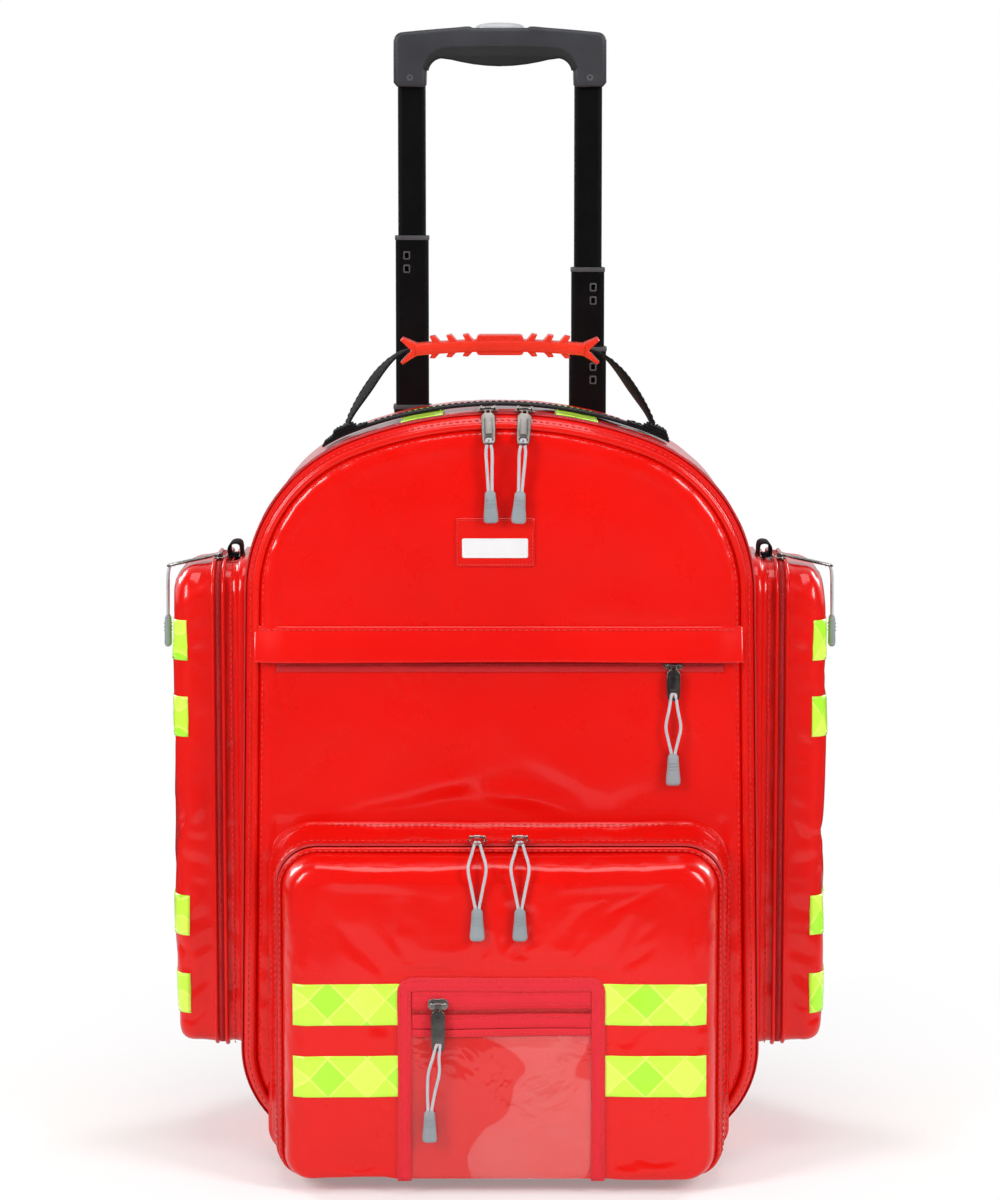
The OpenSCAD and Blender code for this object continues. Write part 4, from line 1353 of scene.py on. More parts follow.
def pocket_front():
    first = len(POCKET_FRONT_PROFILE)
    rings = [xz(pocket_outline(inset, sag=0.132 * inset,
                               bottom=POCKET_BOTTOM + 0.12 * max(inset - 6.5, 0) ** 1.3)[0], y)
             for inset, y in POCKET_FRONT_PROFILE]
    verts, faces, ring = loft(rings, (0, 95, 150), 50)
    normals = vertex_normals(verts, faces)
    if normals[-POCKET_STEPS * 3:, 1].mean() > 0:
        normals = -normals
    x, z = verts[:, 0], verts[:, 2]
    inset = inset_from(verts, first, POCKET_STEPS)
    face = ring >= first
    # padded edge, soft face, more swell above the reflective strips
    window = smoothstep(82, 74, np.abs(x - 1)) * smoothstep(166, 158, z)
    push = np.where(face, 0.9 * bell(inset - 4, 6), 0)
    push += 0.9 * smoothstep(0, 45, inset) * smoothstep(140, 175, z) * smoothstep(234, 200, z)
    push += smoothstep(3, 10, ring) * (0.45 * ripple(verts, 95, 10) + 0.10 * ripple(verts, 34, 11))
    for fold_x, fold_z, length, width, height, angle in POCKET_FOLDS:
        u, v = rotated(x - fold_x, z - fold_z, angle)
        push += height * bell(u, length) * bell(v, width)
    # gathers along the bottom edge
    gathers = 0.8 * np.sin(x / 13.0 + 1.3 * np.sin(x / 31)) - 0.25
    push += smoothstep(40, 12, z) * gathers * smoothstep(2, 12, ring)
    push = push * (1 - window) - 0.1 * window
    verts = verts + normals * push[:, None]
    x, y, z = verts.T
    y[:] = np.where(face & (window > 0.3), np.maximum(y, -170.35), y)
    z[:] = np.maximum(z, 8.4 + 0.5 * np.sin(x / 13))
    obj = skin("pocket_front_skin", verts, faces, PVC_PANEL)
    # the walls, open edge, bottom and window area are held while the face swells
    bm = bmesh.new()
    bm.from_mesh(obj.data)
    pinned = []
    for vertex in bm.verts:
        x, y, z = vertex.co * 1000
        pinned.append(y > -158 or vertex.is_boundary or z < 14 or (abs(x - 1) < 79 and z < 164))
    bm.free()
    puff(obj, pinned, pressure=2.0, cap=1.6, frames=14, grow=0.002, tension=16, bend=4.0)
    line_inside(obj, 1.6)
    return obj


pocket_wall()
pocket_back_panel()
pocket_zip()
pocket_object = pocket_front()
POCKET_BVH = mesh_bvh(pocket_object)
attach(pocket_object, "pocket_lid", "pocket_front")


def pocket_front_seams():
    points, _ = pocket_outline(4.4)
    piping("pocket_piping", "pocket_lid", xz(points[off_hinge(points, 134, 12)], -146.8), 2.0, 12)
    parts = Parts()
    pocket_stitches(parts, 5.2, -150.6, lift=0.75)
    parts.build("pocket_front_stitching", "pocket_lid", fix=False)


def pocket_strips():
    rows, columns = 16, 44
    for side, x0, x1 in (("left", -145.5, -70), ("right", 72, 145)):
        for k, z0 in enumerate((70.5, 122.0)):
            name = f"pocket_strip_{side}_{k + 1}"
            grid = [(x, -150, z) for z in np.linspace(z0, z0 + 29.5, rows)
                    for x in np.linspace(x0, x1, columns)]
            points, normals = drop(POCKET_BVH, grid, 60, 0.35)
            sheet(name, points, rows, columns, LIME, 0.6, "pocket_lid", "pocket_tapes")
            weld_lines(name + "_weld", "pocket_lid", points.reshape(rows, columns, 3),
                       normals.reshape(rows, columns, 3), (1, 14))


pocket_front_seams()
pocket_strips()

# ---------------------------------------------------------------- clear window
FRONT = vec(0, -1, 0)
# Binding section: outward, across
BINDING_SECTION = [
    (-1.0, -4.9), (-1.0, 4.9), (0.5, 4.9), (0.95, 4.2), (0.75, 2.9), (1.05, 1.2),
    (1.05, -1.2), (0.75, -2.9), (0.95, -4.2), (0.5, -4.9)]
# Section of the tape between zip and sheet: outward, across
HOLDING_SECTION = [(-0.5, -2.6), (0.3, -2.6), (0.5, -2.0), (0.5, 2.0), (0.3, 2.6), (-0.5, 2.6)]


def window_binding():
    """One folded tape that turns the two top corners of the window."""
    half_tape, turn_radius = 4.9, 5
    x0, x1 = -72 + half_tape, 74 - half_tape
    bottom, top = 10.0, 156 - half_tape
    corner_z = top - turn_radius
    bends = [(turn_radius * math.cos(angle), turn_radius * math.sin(angle))
             for angle in np.radians([20, 45, 70])]
    points = [(x0, z) for z in np.linspace(bottom, corner_z, 40)]
    points += [(x0 + turn_radius - cos, corner_z + sin) for cos, sin in bends]
    points += [(x, top) for x in np.linspace(x0 + turn_radius, x1 - turn_radius, 44)]
    points += [(x1 - turn_radius + sin, corner_z + cos) for cos, sin in bends]
    points += [(x1, z) for z in np.linspace(corner_z, bottom, 40)]
    x, z = np.array(points).T
    wobble = 0.35 * ripple(np.stack([x, x * 0, z], 1), 55, 12)
    path = np.stack([x + wobble, -171.4 - 0.25 * np.abs(wobble), z + wobble * 0.6], 1)
    parts = Parts()
    parts.add(*sweep(path, BINDING_SECTION, up=FRONT), CRIMSON)
    ups, sides = frames_along(path, up=FRONT)
    for across in (-2.9, 2.9):
        parts.stitch(path + ups * 0.8 + sides * across, FRONT, radius=0.32, lift=0.1,
                     pitch=3.6, length=2.6)
    parts.build("window_binding_tape", "pocket_lid", "window_binding")


def window_zip():
    fine = {"radius": 0.3, "pitch": 3.4, "length": 2.5}
    x = np.linspace(-62, 64, 70)
    centre = np.stack([x, -171.2 + 0.14 * np.sin(x / 17.0), 132.0 + 0.5 * np.sin(x / 26)], 1)
    parts = Parts()
    for side, width, seam in ((1, 13.4, 4.6), (-1, 11.0, 4.2)):
        across = vec(0, 0, -side)
        parts.add(*sweep(centre - across * (width / 2 + 1.2), band(width, 0.7), up=FRONT), CRIMSON)
        parts.add(*sweep(centre - across * 1.4 + FRONT * 0.35, circle(0.6, 6)), ZIP_TAPE)
        parts.teeth(centre - across * 1.1 + FRONT * 0.4, FRONT, across, side, size=(0.65, 0.85))
        parts.stitch(centre - across * seam + FRONT * 0.35, FRONT, **fine)
    parts.stitch(centre + vec(0, -0.35, 12.6), FRONT, **fine)
    # narrow tape that holds the clear sheet under the zip
    parts.add(*sweep(centre - vec(0, 0.55, 15.2), HOLDING_SECTION, up=FRONT), CRIMSON)
    parts.stitch(centre - vec(0, 1.1, 15.2), FRONT, lift=0.0, **fine)
    parts.build("window_zip", "pocket_lid", "pocket_zip_tapes")


def window_sheet():
    """Clear sheet, a little loose."""
    columns, rows = 60, 56
    x0, x1, z0, z1 = -63.5, 65.5, 11.0, 117.5
    x, z = (grid.ravel() for grid in np.meshgrid(np.linspace(x0, x1, columns),
                                                 np.linspace(z0, z1, rows)))
    points = np.stack([x, np.zeros_like(x), z], 1)
    edge = np.minimum.reduce([x - x0, x1 - x, z1 - z, (z - z0) * 0.8 + 3])
    swell = 1.4 + 0.9 * ripple(points, 62, 13) + 0.4 * ripple(points, 26, 14)
    swell += 0.7 * bell((x + 10) * 0.5 + (z - 70) * 0.86, 6)
    points[:, 1] = np.minimum(-171.0 - smoothstep(0, 14, edge) * swell, -170.9)
    sheet("clear_window", points, rows, columns, VINYL, 0.5, "pocket_lid", "window_sheet")


window_binding()
window_zip()
window_sheet()

# ---------------------------------------------------------------- side pockets
# Fixed half, outwards from the bag: inset from the outline, distance from the centre plane
SIDE_BASE_PROFILE = [
    (-2.0, 189.0), (-1.2, 189.8), (0.0, 190.8), (0.3, 193), (0.5, 196), (0.4, 198.5),
    (0.2, 200.4), (0.6, 201.4), (1.6, 202.0), (3.4, 202.2)]
# Moving half, outwards: the same columns
SIDE_LID_PROFILE = [
    (4.2, 206.4), (2.6, 206.2), (1.4, 206.8), (0.9, 208.0), (1.2, 210.0), (1.5, 213),
    (1.6, 216.5), (1.6, 220), (1.6, 223.5), (2.0, 226.5), (3.0, 229.4), (4.8, 232.0),
    (7.2, 234.0), (10.2, 235.3), (14, 236.1)]
# Cross creases in the moving half: z, depth
SIDE_CREASES = [(372, 0.7), (300, 0.45), (232, 0.8), (216, 0.6), (150, 0.4), (96, 0.8)]
# Webbing loop at the top of the pocket: distance from the centre plane, z
SIDE_LOOP = [
    (189.6, 418), (189.8, 432), (189.9, 443.5), (192.0, 446.6), (196.2, 446.4),
    (198.6, 443.6), (198.6, 438.6), (196.4, 436.9), (192.4, 436.9)]


def side_ring(inset, x, top=SIDE_TOP):
    half = SIDE_HALF - inset
    points, _ = round_outline(-half, half, SIDE_BOTTOM + inset * 0.7, top - inset,
                              max(25.0 - inset * 0.4, 6), max(14.0 - inset * 0.3, 5), SIDE_STEPS)
    return yz(points, x)


def side_outline(half, bottom, top, top_radius, bottom_radius):
    return round_outline(-half, half, bottom, top, top_radius, bottom_radius, SIDE_STEPS)


def side_base(s, side, seed):
    """Fixed half; its first ring follows the wall of the bag."""
    rings = [side_ring(inset, s * x) for inset, x in SIDE_BASE_PROFILE]
    wall = rings[0].copy()
    outer = ARCH[ARCH[:, 0] > 150]
    outer = outer[np.argsort(outer[:, 1])]
    wall[:, 0] = s * (np.interp(wall[:, 2], outer[:, 1], outer[:, 0]) - 0.9)
    verts, faces, ring = loft([wall] + rings)
    normals = vertex_normals(verts, faces)
    if (normals * (verts - vec(196 * s, 0, 258)) * vec(0, 1, 1)).sum() < 0:
        normals = -normals
    push = -0.7 + 0.7 * ripple(verts, 40, seed) + 0.35 * ripple(verts, 15, seed + 1)
    verts = verts + normals * (bell(ring - 5.5, 2.2) * push)[:, None]
    obj = skin(f"side_pocket_base_{side}", verts, faces, PVC)
    line_inside(obj, 1.6)
    attach(obj, "pack", f"side_base_{side}")


def side_lid(s, side, body, seed):
    """Moving half; its top slopes down a little towards the outside. Returns its BVH."""
    first = len(SIDE_LID_PROFILE)
    rings = [side_ring(inset, s * x, SIDE_TOP - 0.16 * max(x - 208, 0))
             for inset, x in SIDE_LID_PROFILE]
    verts, faces, ring = loft(rings, (1, 110, 400), 22)
    normals = vertex_normals(verts, faces)
    if (normals[-SIDE_STEPS * 4:, 0] * s).mean() < 0:
        normals = -normals
    x, y, z = verts[:, 0] * s, verts[:, 1], verts[:, 2]
    free = smoothstep(2.5, 7, ring)
    push = free * (0.60 * ripple(verts, 95, seed + 2) + 0.18 * ripple(verts, 34, seed + 3))
    # outer face swells between its stiff edges
    push += smoothstep(first - 3, first + 8, ring) * (0.9 + 1.0 * ripple(verts, 130, seed + 4))
    # folds that run down from the top corners
    for corner_y, lower in ((-60, 0), (60, 3)):
        for k in range(4):
            fold_z = 424 - 17 * k - lower
            u, _ = rotated(x - 222, z - fold_z, 0.45 + 0.12 * k)
            push += (free * (1.25 - 0.2 * k) * np.sin(u / (2.5 + 0.5 * k))
                     * bell(z - fold_z, 9) * bell(y - corner_y, 16) * bell(x - 222, 10))
    for crease_z, depth in SIDE_CREASES:
        push -= (free * depth * bell(z - crease_z - 0.3 * (x - 220), 3.2) * bell(x - 222, 12)
                 * (0.5 + 0.5 * np.sin(y / 9.0 + crease_z)))
    verts = verts + normals * push[:, None]
    verts[:, 2] = np.minimum(verts[:, 2], 436.2)
    obj = skin(f"side_pocket_lid_{side}", verts, faces, PVC)
    pinned = [abs(v.co.x * 1000) < 213 for v in obj.data.vertices]
    puff(obj, pinned, pressure=1.8, cap=2.6, frames=12, grow=0.004, tension=16, bend=3.0)
    line_inside(obj, 1.6)
    bvh = mesh_bvh(obj)
    attach(obj, body, f"side_lid_{side}")
    return bvh


def side_seams(s, side, body):
    """Zip, piping, stitching and hinge round a side pocket."""
    points, flat_normals = side_outline(58.6, 81.2, 434.6, 24, 13)
    kept = off_hinge(points, HINGE_HALF_SIDE, 84)
    path, normals = yz(points[kept], SIDE_ZIP_X * s), yz(flat_normals[kept], 0)
    zip_half(f"side_zip_{side}_fixed", "pack", path, normals, (s, 0, 0), 2.0, 1,
             "rear_zip_tapes")
    zip_half(f"side_zip_{side}_lid", body, path, normals, (-s, 0, 0), 2.0, -1)
    fixed, fixed_normals = side_outline(60.4, 79.6, 436.2, 25.5, 14)
    moving, _ = side_outline(59.6, 80.2, 435.6, 25, 14)
    kept = off_hinge(fixed, HINGE_HALF_SIDE, 84)
    piping(f"side_piping_{side}_fixed", "pack", yz(fixed[kept], 200.2 * s), 1.55, 10)
    piping(f"side_piping_{side}_lid", body, yz(moving[kept], 207.8 * s), 1.55, 10)
    parts = Parts()
    normals = yz(fixed_normals[kept], 0)
    parts.stitch(yz(fixed[kept], 194.6 * s) - normals * 0.6, normals, lift=0.4)
    parts.build(f"side_stitching_{side}_fixed", "pack", fix=False)
    hinge_strip(f"side_hinge_strip_{side}",
                [(s * x, 0, 81.0) for x in np.linspace(199.5, 208.5, 11)],
                1, HINGE_HALF_SIDE)


def side_strips(s, side, body, bvh):
    """Reflective strips that wrap the outer face."""
    rows, columns = 14, 52
    for k, z0 in enumerate((104, 162, 309, 365)):
        hits = []
        for z in np.linspace(z0, z0 + 29.5, rows):
            centre = Vector((s * 207, 0, z))
            for angle in np.radians(np.linspace(-71, 71, columns)):
                inward = Vector((-s * math.cos(angle), -math.sin(angle), 0))
                hits.append(cast(bvh, centre - inward * 120, inward, 200, 0.4,
                                 centre - inward * 40))
        points, normals = np.array(hits).transpose(1, 0, 2)
        name = f"side_strip_{side}_{k + 1}"
        sheet(name, points, rows, columns, LIME, 0.6, body, f"side_tapes_{side}")
        weld_lines(name + "_weld", body, points.reshape(rows, columns, 3),
                   normals.reshape(rows, columns, 3), (1, 12))


def side_loop(s, side):
    path = spline([(s * x, -8, z) for x, z in SIDE_LOOP], 60)
    parts = Parts()
    up = np.cross(np.gradient(path, axis=0), vec(0, 1, 0))
    parts.add(*sweep(path, band(27, 1.5), up=up), WEBBING)
    parts.build(f"side_loop_{side}", "pack", "black_webbing")


for s, side, seed in ((-1, "left", 20), (1, "right", 40)):
    body = f"side_lid_{side[0]}"
    side_base(s, side, seed)
    side_bvh = side_lid(s, side, body, seed)
    side_seams(s, side, body)
    side_strips(s, side, body, side_bvh)
    side_loop(s, side)


# ---------------------------------------------------------------- carry handle
def handle_centre(x):
    """Height of the middle of the grip."""
    return HANDLE_Z + 58.5 - 3 * (x / 62.0) ** 2


def handle_webbing():
    half = [(-112, -2), (-110.5, 3), (-106, 12), (-97, 26), (-86, 41), (-74, 52)]
    half = [(x, HANDLE_Z + z) for x, z in half]
    half += [(x, handle_centre(x)) for x in (-62, -40, -20)]
    points = half + [(0, handle_centre(0))] + mirror(half)
    path = spline(xz(points, HANDLE_Y), 150)
    x = path[:, 0]
    normals = np.cross(unit(np.gradient(path, axis=0)), vec(0, 1, 0))
    normals *= np.sign(normals[:, 2:3] + 1e-9)
    twist = (0.30 * bell(np.abs(x) - 95, 12) * np.sign(x))[:, None]
    up = normals * np.cos(twist) + vec(0, 1, 0) * np.sin(twist)
    scale = np.stack([np.ones(len(path)), 1 - 0.1 * bell(np.abs(x) - 111, 5)], 1)
    parts = Parts()
    parts.add(*sweep(path, band(20, 1.6), up=up, scale=scale), WEBBING)
    ups, sides = frames_along(path, up=up)
    for across in (-8.0, 8.0):
        for part in (slice(4, 38), slice(len(path) - 38, len(path) - 4)):
            parts.stitch(path[part] + ups[part] * 0.85 + sides[part] * across, ups[part],
                         BLACK_THREAD, lift=0.0, radius=0.4)
    obj = parts.build("handle_webbing_skin")
    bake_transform(obj)
    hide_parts("handle_webbing")


def handle_knot(side, x0, x1):
    """Folded webbing where the handle is sewn to the crown strap."""
    points, flat_normals = crown_points(x0, x1, 0, 12)
    normals = nxz(flat_normals)
    parts = Parts()
    for k, (lift, width) in enumerate(((5.2, 25.0), (6.9, 24.0))):
        layer = slice(k, len(points) - k)
        path = xz(points + flat_normals * lift, HANDLE_Y)
        parts.add(*sweep(path[layer], band(width, 1.6), up=normals[layer]), WEBBING)
    top = xz(points + flat_normals * 7.8, HANDLE_Y)
    for y in (-9, 0, 9):
        parts.stitch(top[2:-2] + vec(0, y, 0), normals[2:-2], BLACK_THREAD,
                     pitch=2.4, length=1.9, radius=0.4)
    path = [top[6] + vec(0, y, 0.2) for y in np.linspace(-11, 11, 9)]
    parts.add(*sweep(path, circle(0.9, 8)), BLACK_THREAD)
    parts.build(f"handle_knot_{side}", "pack")


def carry_grip():
    """Rubber fishbone: a bar with hooked ends and fins, and dots on both faces."""
    half_thick = 11
    # x, height above the bar's centre line, from the left end to the middle
    top = [(-64.5, 0.0), (-72.3, 8.0), (-70.6, 9.8), (-60.5, 4.4)]
    for x in (-46, -34, -22):
        top += [(x - 3.0, 4.3), (x - 5.0, 8.4), (x - 1.2, 9.0), (x + 2.6, 4.3)]
    top += [(-17.5, 4.4), (-16.2, 7.4), (-14.5, 8.0)]
    upper = top + mirror(top)
    lower = [(x, -z * (0.82 if abs(x) < 56 else 0.98)) for x, z in reversed(upper[1:-1])]
    loop = [(x, handle_centre(x) + z) for x, z in upper + lower]
    dense = []
    for start, end in zip(loop, loop[1:] + loop[:1]):
        pieces = max(1, int(abs(end[0] - start[0]) / 4))
        for i in range(pieces):
            t = i / pieces
            dense.append((start[0] * (1 - t) + end[0] * t, start[1] * (1 - t) + end[1] * t))
    parts = Parts()
    parts.add_plate(plate([dense], 2 * half_thick, bevel=0.9, segments=3), RUBBER,
                    on_face(0, HANDLE_Y + half_thick, 0))
    for out in (-1, 1):
        bar = [(x, HANDLE_Y + out * 10.9, handle_centre(x) - 0.3) for x in np.linspace(-61, 61, 60)]
        parts.add(*sweep(bar, band(7.6, 2.6), up=vec(0, out, 0)), RUBBER)
        y = HANDLE_Y + out * half_thick
        for i in range(4):
            x = -11.7 + 7.8 * i
            z = handle_centre(x) + 6.12
            dot = ring_facing_y(x, y - out * 0.2, z, 1.1, 10)
            dot += ring_facing_y(x, y + out * 0.45, z, 0.7, 10) + [(x, y + out * 0.6, z)]
            faces = grid_faces(2, 10) + [(10 + k, 10 + (k + 1) % 10, 20) for k in range(10)]
            parts.add(dot, faces + [tuple(reversed(range(10)))], RUBBER)
    parts.build("carry_grip_rubber", "carry_handle", "carry_grip", angle=38)


handle_webbing()
handle_knot("left", -119.5, -103.5)
handle_knot("right", 103.5, 119.5)
carry_grip()

# ---------------------------------------------------------------- trolley handle
# Half outlines of the grip, joined by their mirror images: x, z below the grip's top
GRIP_TOP_HALF = arc_points(73.0, -11.0, 7.0, 0, 84, 8) + [
    (60, -2.7), (46, -1.5), (33, -0.5), (26, 0.2), (22.6, 0.2), (20.4, -0.8)]
GRIP_UNDER_HALF = [(-80, -41.5), (-77.5, -44.5), (-57.5, -45), (-55.4, -43), (-55.2, -36)]
GRIP_UNDER_HALF += arc_points(-43.2, -34, 12, 180, 92, 8) + [(-30, -22.2), (-15, -23.2)]
PALM_UNDER_HALF = arc_points(-43.2, -34, 10.9, 172, 98, 8) + [
    (-37, -24.2), (-30, -25.8), (-20, -27.6), (-10, -28.7)]
PALM_TOP_HALF = [(58.2, -31.0), (56.8, -25.6), (53.2, -20.4), (48.0, -16.9), (42.0, -15.0),
                 (34.0, -14.3), (17, -13.9)]


def grip_loop(first_half, first_middle, second_half, second_middle):
    points = first_half + [(0, first_middle)] + mirror(first_half)
    points += second_half + [(0, second_middle)] + mirror(second_half)
    return [(x, GRIP_TOP + z) for x, z in points]


def grip_shell():
    loop = grip_loop(GRIP_TOP_HALF, -0.9, GRIP_UNDER_HALF, -23.6)
    solid = plate([loop], 27, bevel=3.6, segments=4)
    transform_mesh(solid, on_face(0, TUBE_Y + 13.5, 0))
    fix_normals(solid)
    # recess for the push button
    cutter = plate([rounded_rect(-19.6, 19.6, -8.6, 8.6, 8.5, 8)], 16, bevel=0.01, segments=0)
    transform_mesh(cutter, moved(0, TUBE_Y, GRIP_TOP - 11.5))
    fix_normals(cutter)
    recess = solid.modifiers.new("recess", "BOOLEAN")
    recess.operation = "DIFFERENCE"
    recess.solver = "EXACT"
    recess.object = cutter
    depsgraph = bpy.context.evaluated_depsgraph_get()
    mesh = bpy.data.meshes.new_from_object(solid.evaluated_get(depsgraph))
    bpy.data.objects.remove(solid)
    bpy.data.objects.remove(cutter)
    obj = link_object("trolley_grip_shell", mesh)
    mesh.materials.clear()
    mesh.materials.append(GRIP_DARK)
    for polygon in mesh.polygons:
        polygon.material_index = 0
    smooth_by_angle(obj, 32)
    attach(obj, "trolley_handle", "handle_grip")


def grip_palm():
    """Soft crescent let into the bar, deepest in the middle."""
    loop = grip_loop(PALM_UNDER_HALF, -29.1, PALM_TOP_HALF, -13.8)
    parts = Parts()
    parts.add_plate(plate([loop], 27.8, bevel=0.9, segments=3), PALM,
                    on_face(0, TUBE_Y + 13.9, 0))
    parts.build("trolley_grip_palm", "trolley_handle")


def grip_plugs():
    """A round plug on the front of each leg."""
    profile = [(2.6, 0.4), (2.6, -0.25), (2.2, -0.45), (1.2, -0.45), (1.0, 0.1)]  # radius, y
    parts = Parts()
    for s in (-1, 1):
        verts = []
        for radius, y in profile:
            verts += ring_facing_y(s * 67.5, TUBE_Y - 13.4 + y, GRIP_TOP - 38, radius, 16)
        parts.add(verts, grid_faces(5, 16) + [tuple(range(64, 80))], HUB)
    parts.build("trolley_grip_plugs", "trolley_handle")


def tube_lip(name, s, half_x, half_y, top, body):
    """Collar at the top of a tube; the sliding stages have two small windows too."""
    outer = rounded_rect(-half_x - 0.55, half_x + 0.55, -half_y - 0.55, half_y + 0.55, 3.6)
    inner = rounded_rect(-half_x + 1.1, half_x - 1.1, -half_y + 1.1, half_y - 1.1, 2.0)
    parts = Parts()
    parts.add_plate(plate([outer, inner[::-1]], 3.4, bevel=0.4, segments=2), HUB,
                    moved(s * TUBE_X, TUBE_Y, top - 1.4))
    if body != "pack":
        x, y = s * TUBE_X + 4.0 * s, TUBE_Y - half_y
        for below in (13, 23):
            rim = plate([rounded_rect(-2.6, 2.6, -3.2, 3.2, 1.0, 4)], 0.5, bevel=0.12, segments=1)
            parts.add_plate(rim, HUB, on_face(x, y + 0.32, top - below))
            pane = plate([rounded_rect(-1.6, 1.6, -2.1, 2.1, 0.6, 4)], 0.3, bevel=0.08, segments=1)
            parts.add_plate(pane, PALM, on_face(x, y + 0.12, top - below))
    parts.build(name, body, angle=35)


def grip_button():
    """Push button: a low dome in the recess of the grip."""
    # scale, z above the grip's top
    profile = [(1.0, -7.4), (1.0, -0.6), (0.985, 0.2), (0.93, 1.1), (0.82, 1.9), (0.66, 2.6),
               (0.46, 3.05), (0.24, 3.3), (0.08, 3.36)]
    steps, power = 72, 2 / 2.6
    cos, sin = np.cos(turn(steps)), np.sin(turn(steps))
    x = 18.8 * np.sign(cos) * np.abs(cos) ** power
    y = 7.8 * np.sign(sin) * np.abs(sin) ** power
    rings = [np.stack([x * k, TUBE_Y + y * k, np.full(steps, GRIP_TOP + z)], 1)
             for k, z in profile]
    faces = grid_faces(len(profile), steps)
    faces += [tuple(reversed(range(steps))), tuple(8 * steps + i for i in range(steps))]
    parts = Parts()
    parts.add(np.vstack(rings), faces, BUTTON)
    parts.build("grip_button_dome", "release_button", "handle_button", angle=50)


grip_shell()
grip_palm()
grip_plugs()
# name, side, half width, half depth, top z, body
for lip in (("outer_tube_lip_left", -1, 15.5, 10.5, 520, "pack"),
            ("outer_tube_lip_right", 1, 15.5, 10.5, 520, "pack"),
            ("lower_tube_lip_left", -1, 14, 9, 538, "lower_stage_l"),
            ("lower_tube_lip_right", 1, 14, 9, 582, "lower_stage_r"),
            ("mid_tube_lip_left", -1, 12.5, 7.5, 666, "mid_stage_l"),
            ("mid_tube_lip_right", 1, 12.5, 7.5, 642, "mid_stage_r")):
    tube_lip(*lip)
grip_button()

# ---------------------------------------------------------------- CAD nodes kept as they are
# nodes, material, bevel width (0 for none), bevel angle limit in degrees
KEPT_NODES = [
    (("outer_tubes", "lower_tube_left", "lower_tube_right", "mid_tube_left",
      "mid_tube_right", "inner_tubes"), TUBE_BLACK, 0, 0),
    (("tube_bracket",), TRAY, 0.7, 60),
    (("base_tray",), TRAY, 0.5, 60),
    (("back_board",), BOARD, 0, 0),
    (("push_rods", "lock_pins", "wheel_axles", "frame_screws", "button_spring"), STEEL, 0.25, 60),
    (("tyre_left", "tyre_right"), TYRE, 0.6, 30),
    (("hub_left", "hub_right"), HUB, 0.4, 50),
    (("strap_buckles",), TRAY, 0.9, 60)]


def paint_node(node, material, bevel, angle):
    obj = frame["nodes"][node]
    if len(obj.material_slots) == 0:
        obj.data.materials.append(material)
    for slot in obj.material_slots:
        slot.material = material
    if bevel:
        edge = obj.modifiers.new("edge", "BEVEL")
        edge.width = bevel * MM
        edge.segments = 2
        edge.limit_method = "ANGLE"
        edge.angle_limit = math.radians(angle)


for nodes, *look in KEPT_NODES:
    for node in nodes:
        paint_node(node, *look)

# ---------------------------------------------------------------- back pad
PAD_GROOVES = (212, 296, 380, 462)  # z of the cross grooves


def back_pad():
    face_y = 122.4
    points, normals = round_outline(-126, 126, 128, 524, 60, 30, PAD_STEPS)
    spine = (0, 236, 400)
    # edge from the front of the pad to its rear face: inset, y
    edge = [(2.4, 116.2), (0.9, 116.9), (0.2, 118.2), (0.2, 119.6), (1.0, 120.9),
            (2.4, 121.7), (3.6, 121.9), (4.8, face_y)]
    rings = [xz(points - normals * inset, y) for inset, y in edge]
    base = rings[0]
    centre = onto_spine(base, *spine)
    rings = [base * (1 - t) + centre * t for t in np.linspace(1, 0, 14)[:-1]] + rings
    verts, faces, ring = loft(rings, spine, 46)
    inset = inset_from(verts, len(rings), PAD_STEPS)
    x, y, z = verts.T
    height = 7.0 * np.sqrt(np.clip(1 - (1 - np.clip(inset / 26, 0, 1)) ** 2, 0, 1))
    groove = bell(x, 7)
    for groove_z in PAD_GROOVES:
        groove = np.maximum(groove, bell(z - groove_z, 4.0) * smoothstep(8, 30, inset))
    height = height * (1 - 0.78 * groove)
    soft = 0.35 * ripple(verts, 60, 60) * smoothstep(4, 20, inset)
    y[:] = np.where(ring >= len(rings), face_y + height + soft, y)
    obj = fix_normals(make_object("back_pad_cushion", verts, faces, [MESH_PAD]), 0.02)
    pinned = []
    for vertex in obj.data.vertices:
        x, y, z = vertex.co * 1000
        in_groove = abs(x) < 4 or min(abs(z - groove_z) for groove_z in PAD_GROOVES) < 2.2
        pinned.append(y < 122.5 or in_groove)
    puff(obj, pinned, pressure=4.0, cap=5.0, frames=18, grow=0.02, tension=12, bend=1.0)
    attach(obj, "pack", "back_pad")
    piping("back_pad_piping", "pack", xz(points - normals * 2.2, 121.6), 1.7, 10, WEBBING, True)


back_pad()

# ---------------------------------------------------------------- shoulder straps
# Lower strap from the base through the buckle to its loose tail: y, z
LOWER_STRAP = [(92.6, 84), (93.4, 97), (100, 104), (118, 115), (140, 142), (151, 172),
               (155.5, 184), (163.5, 188), (165.5, 184), (160, 165), (154, 140)]


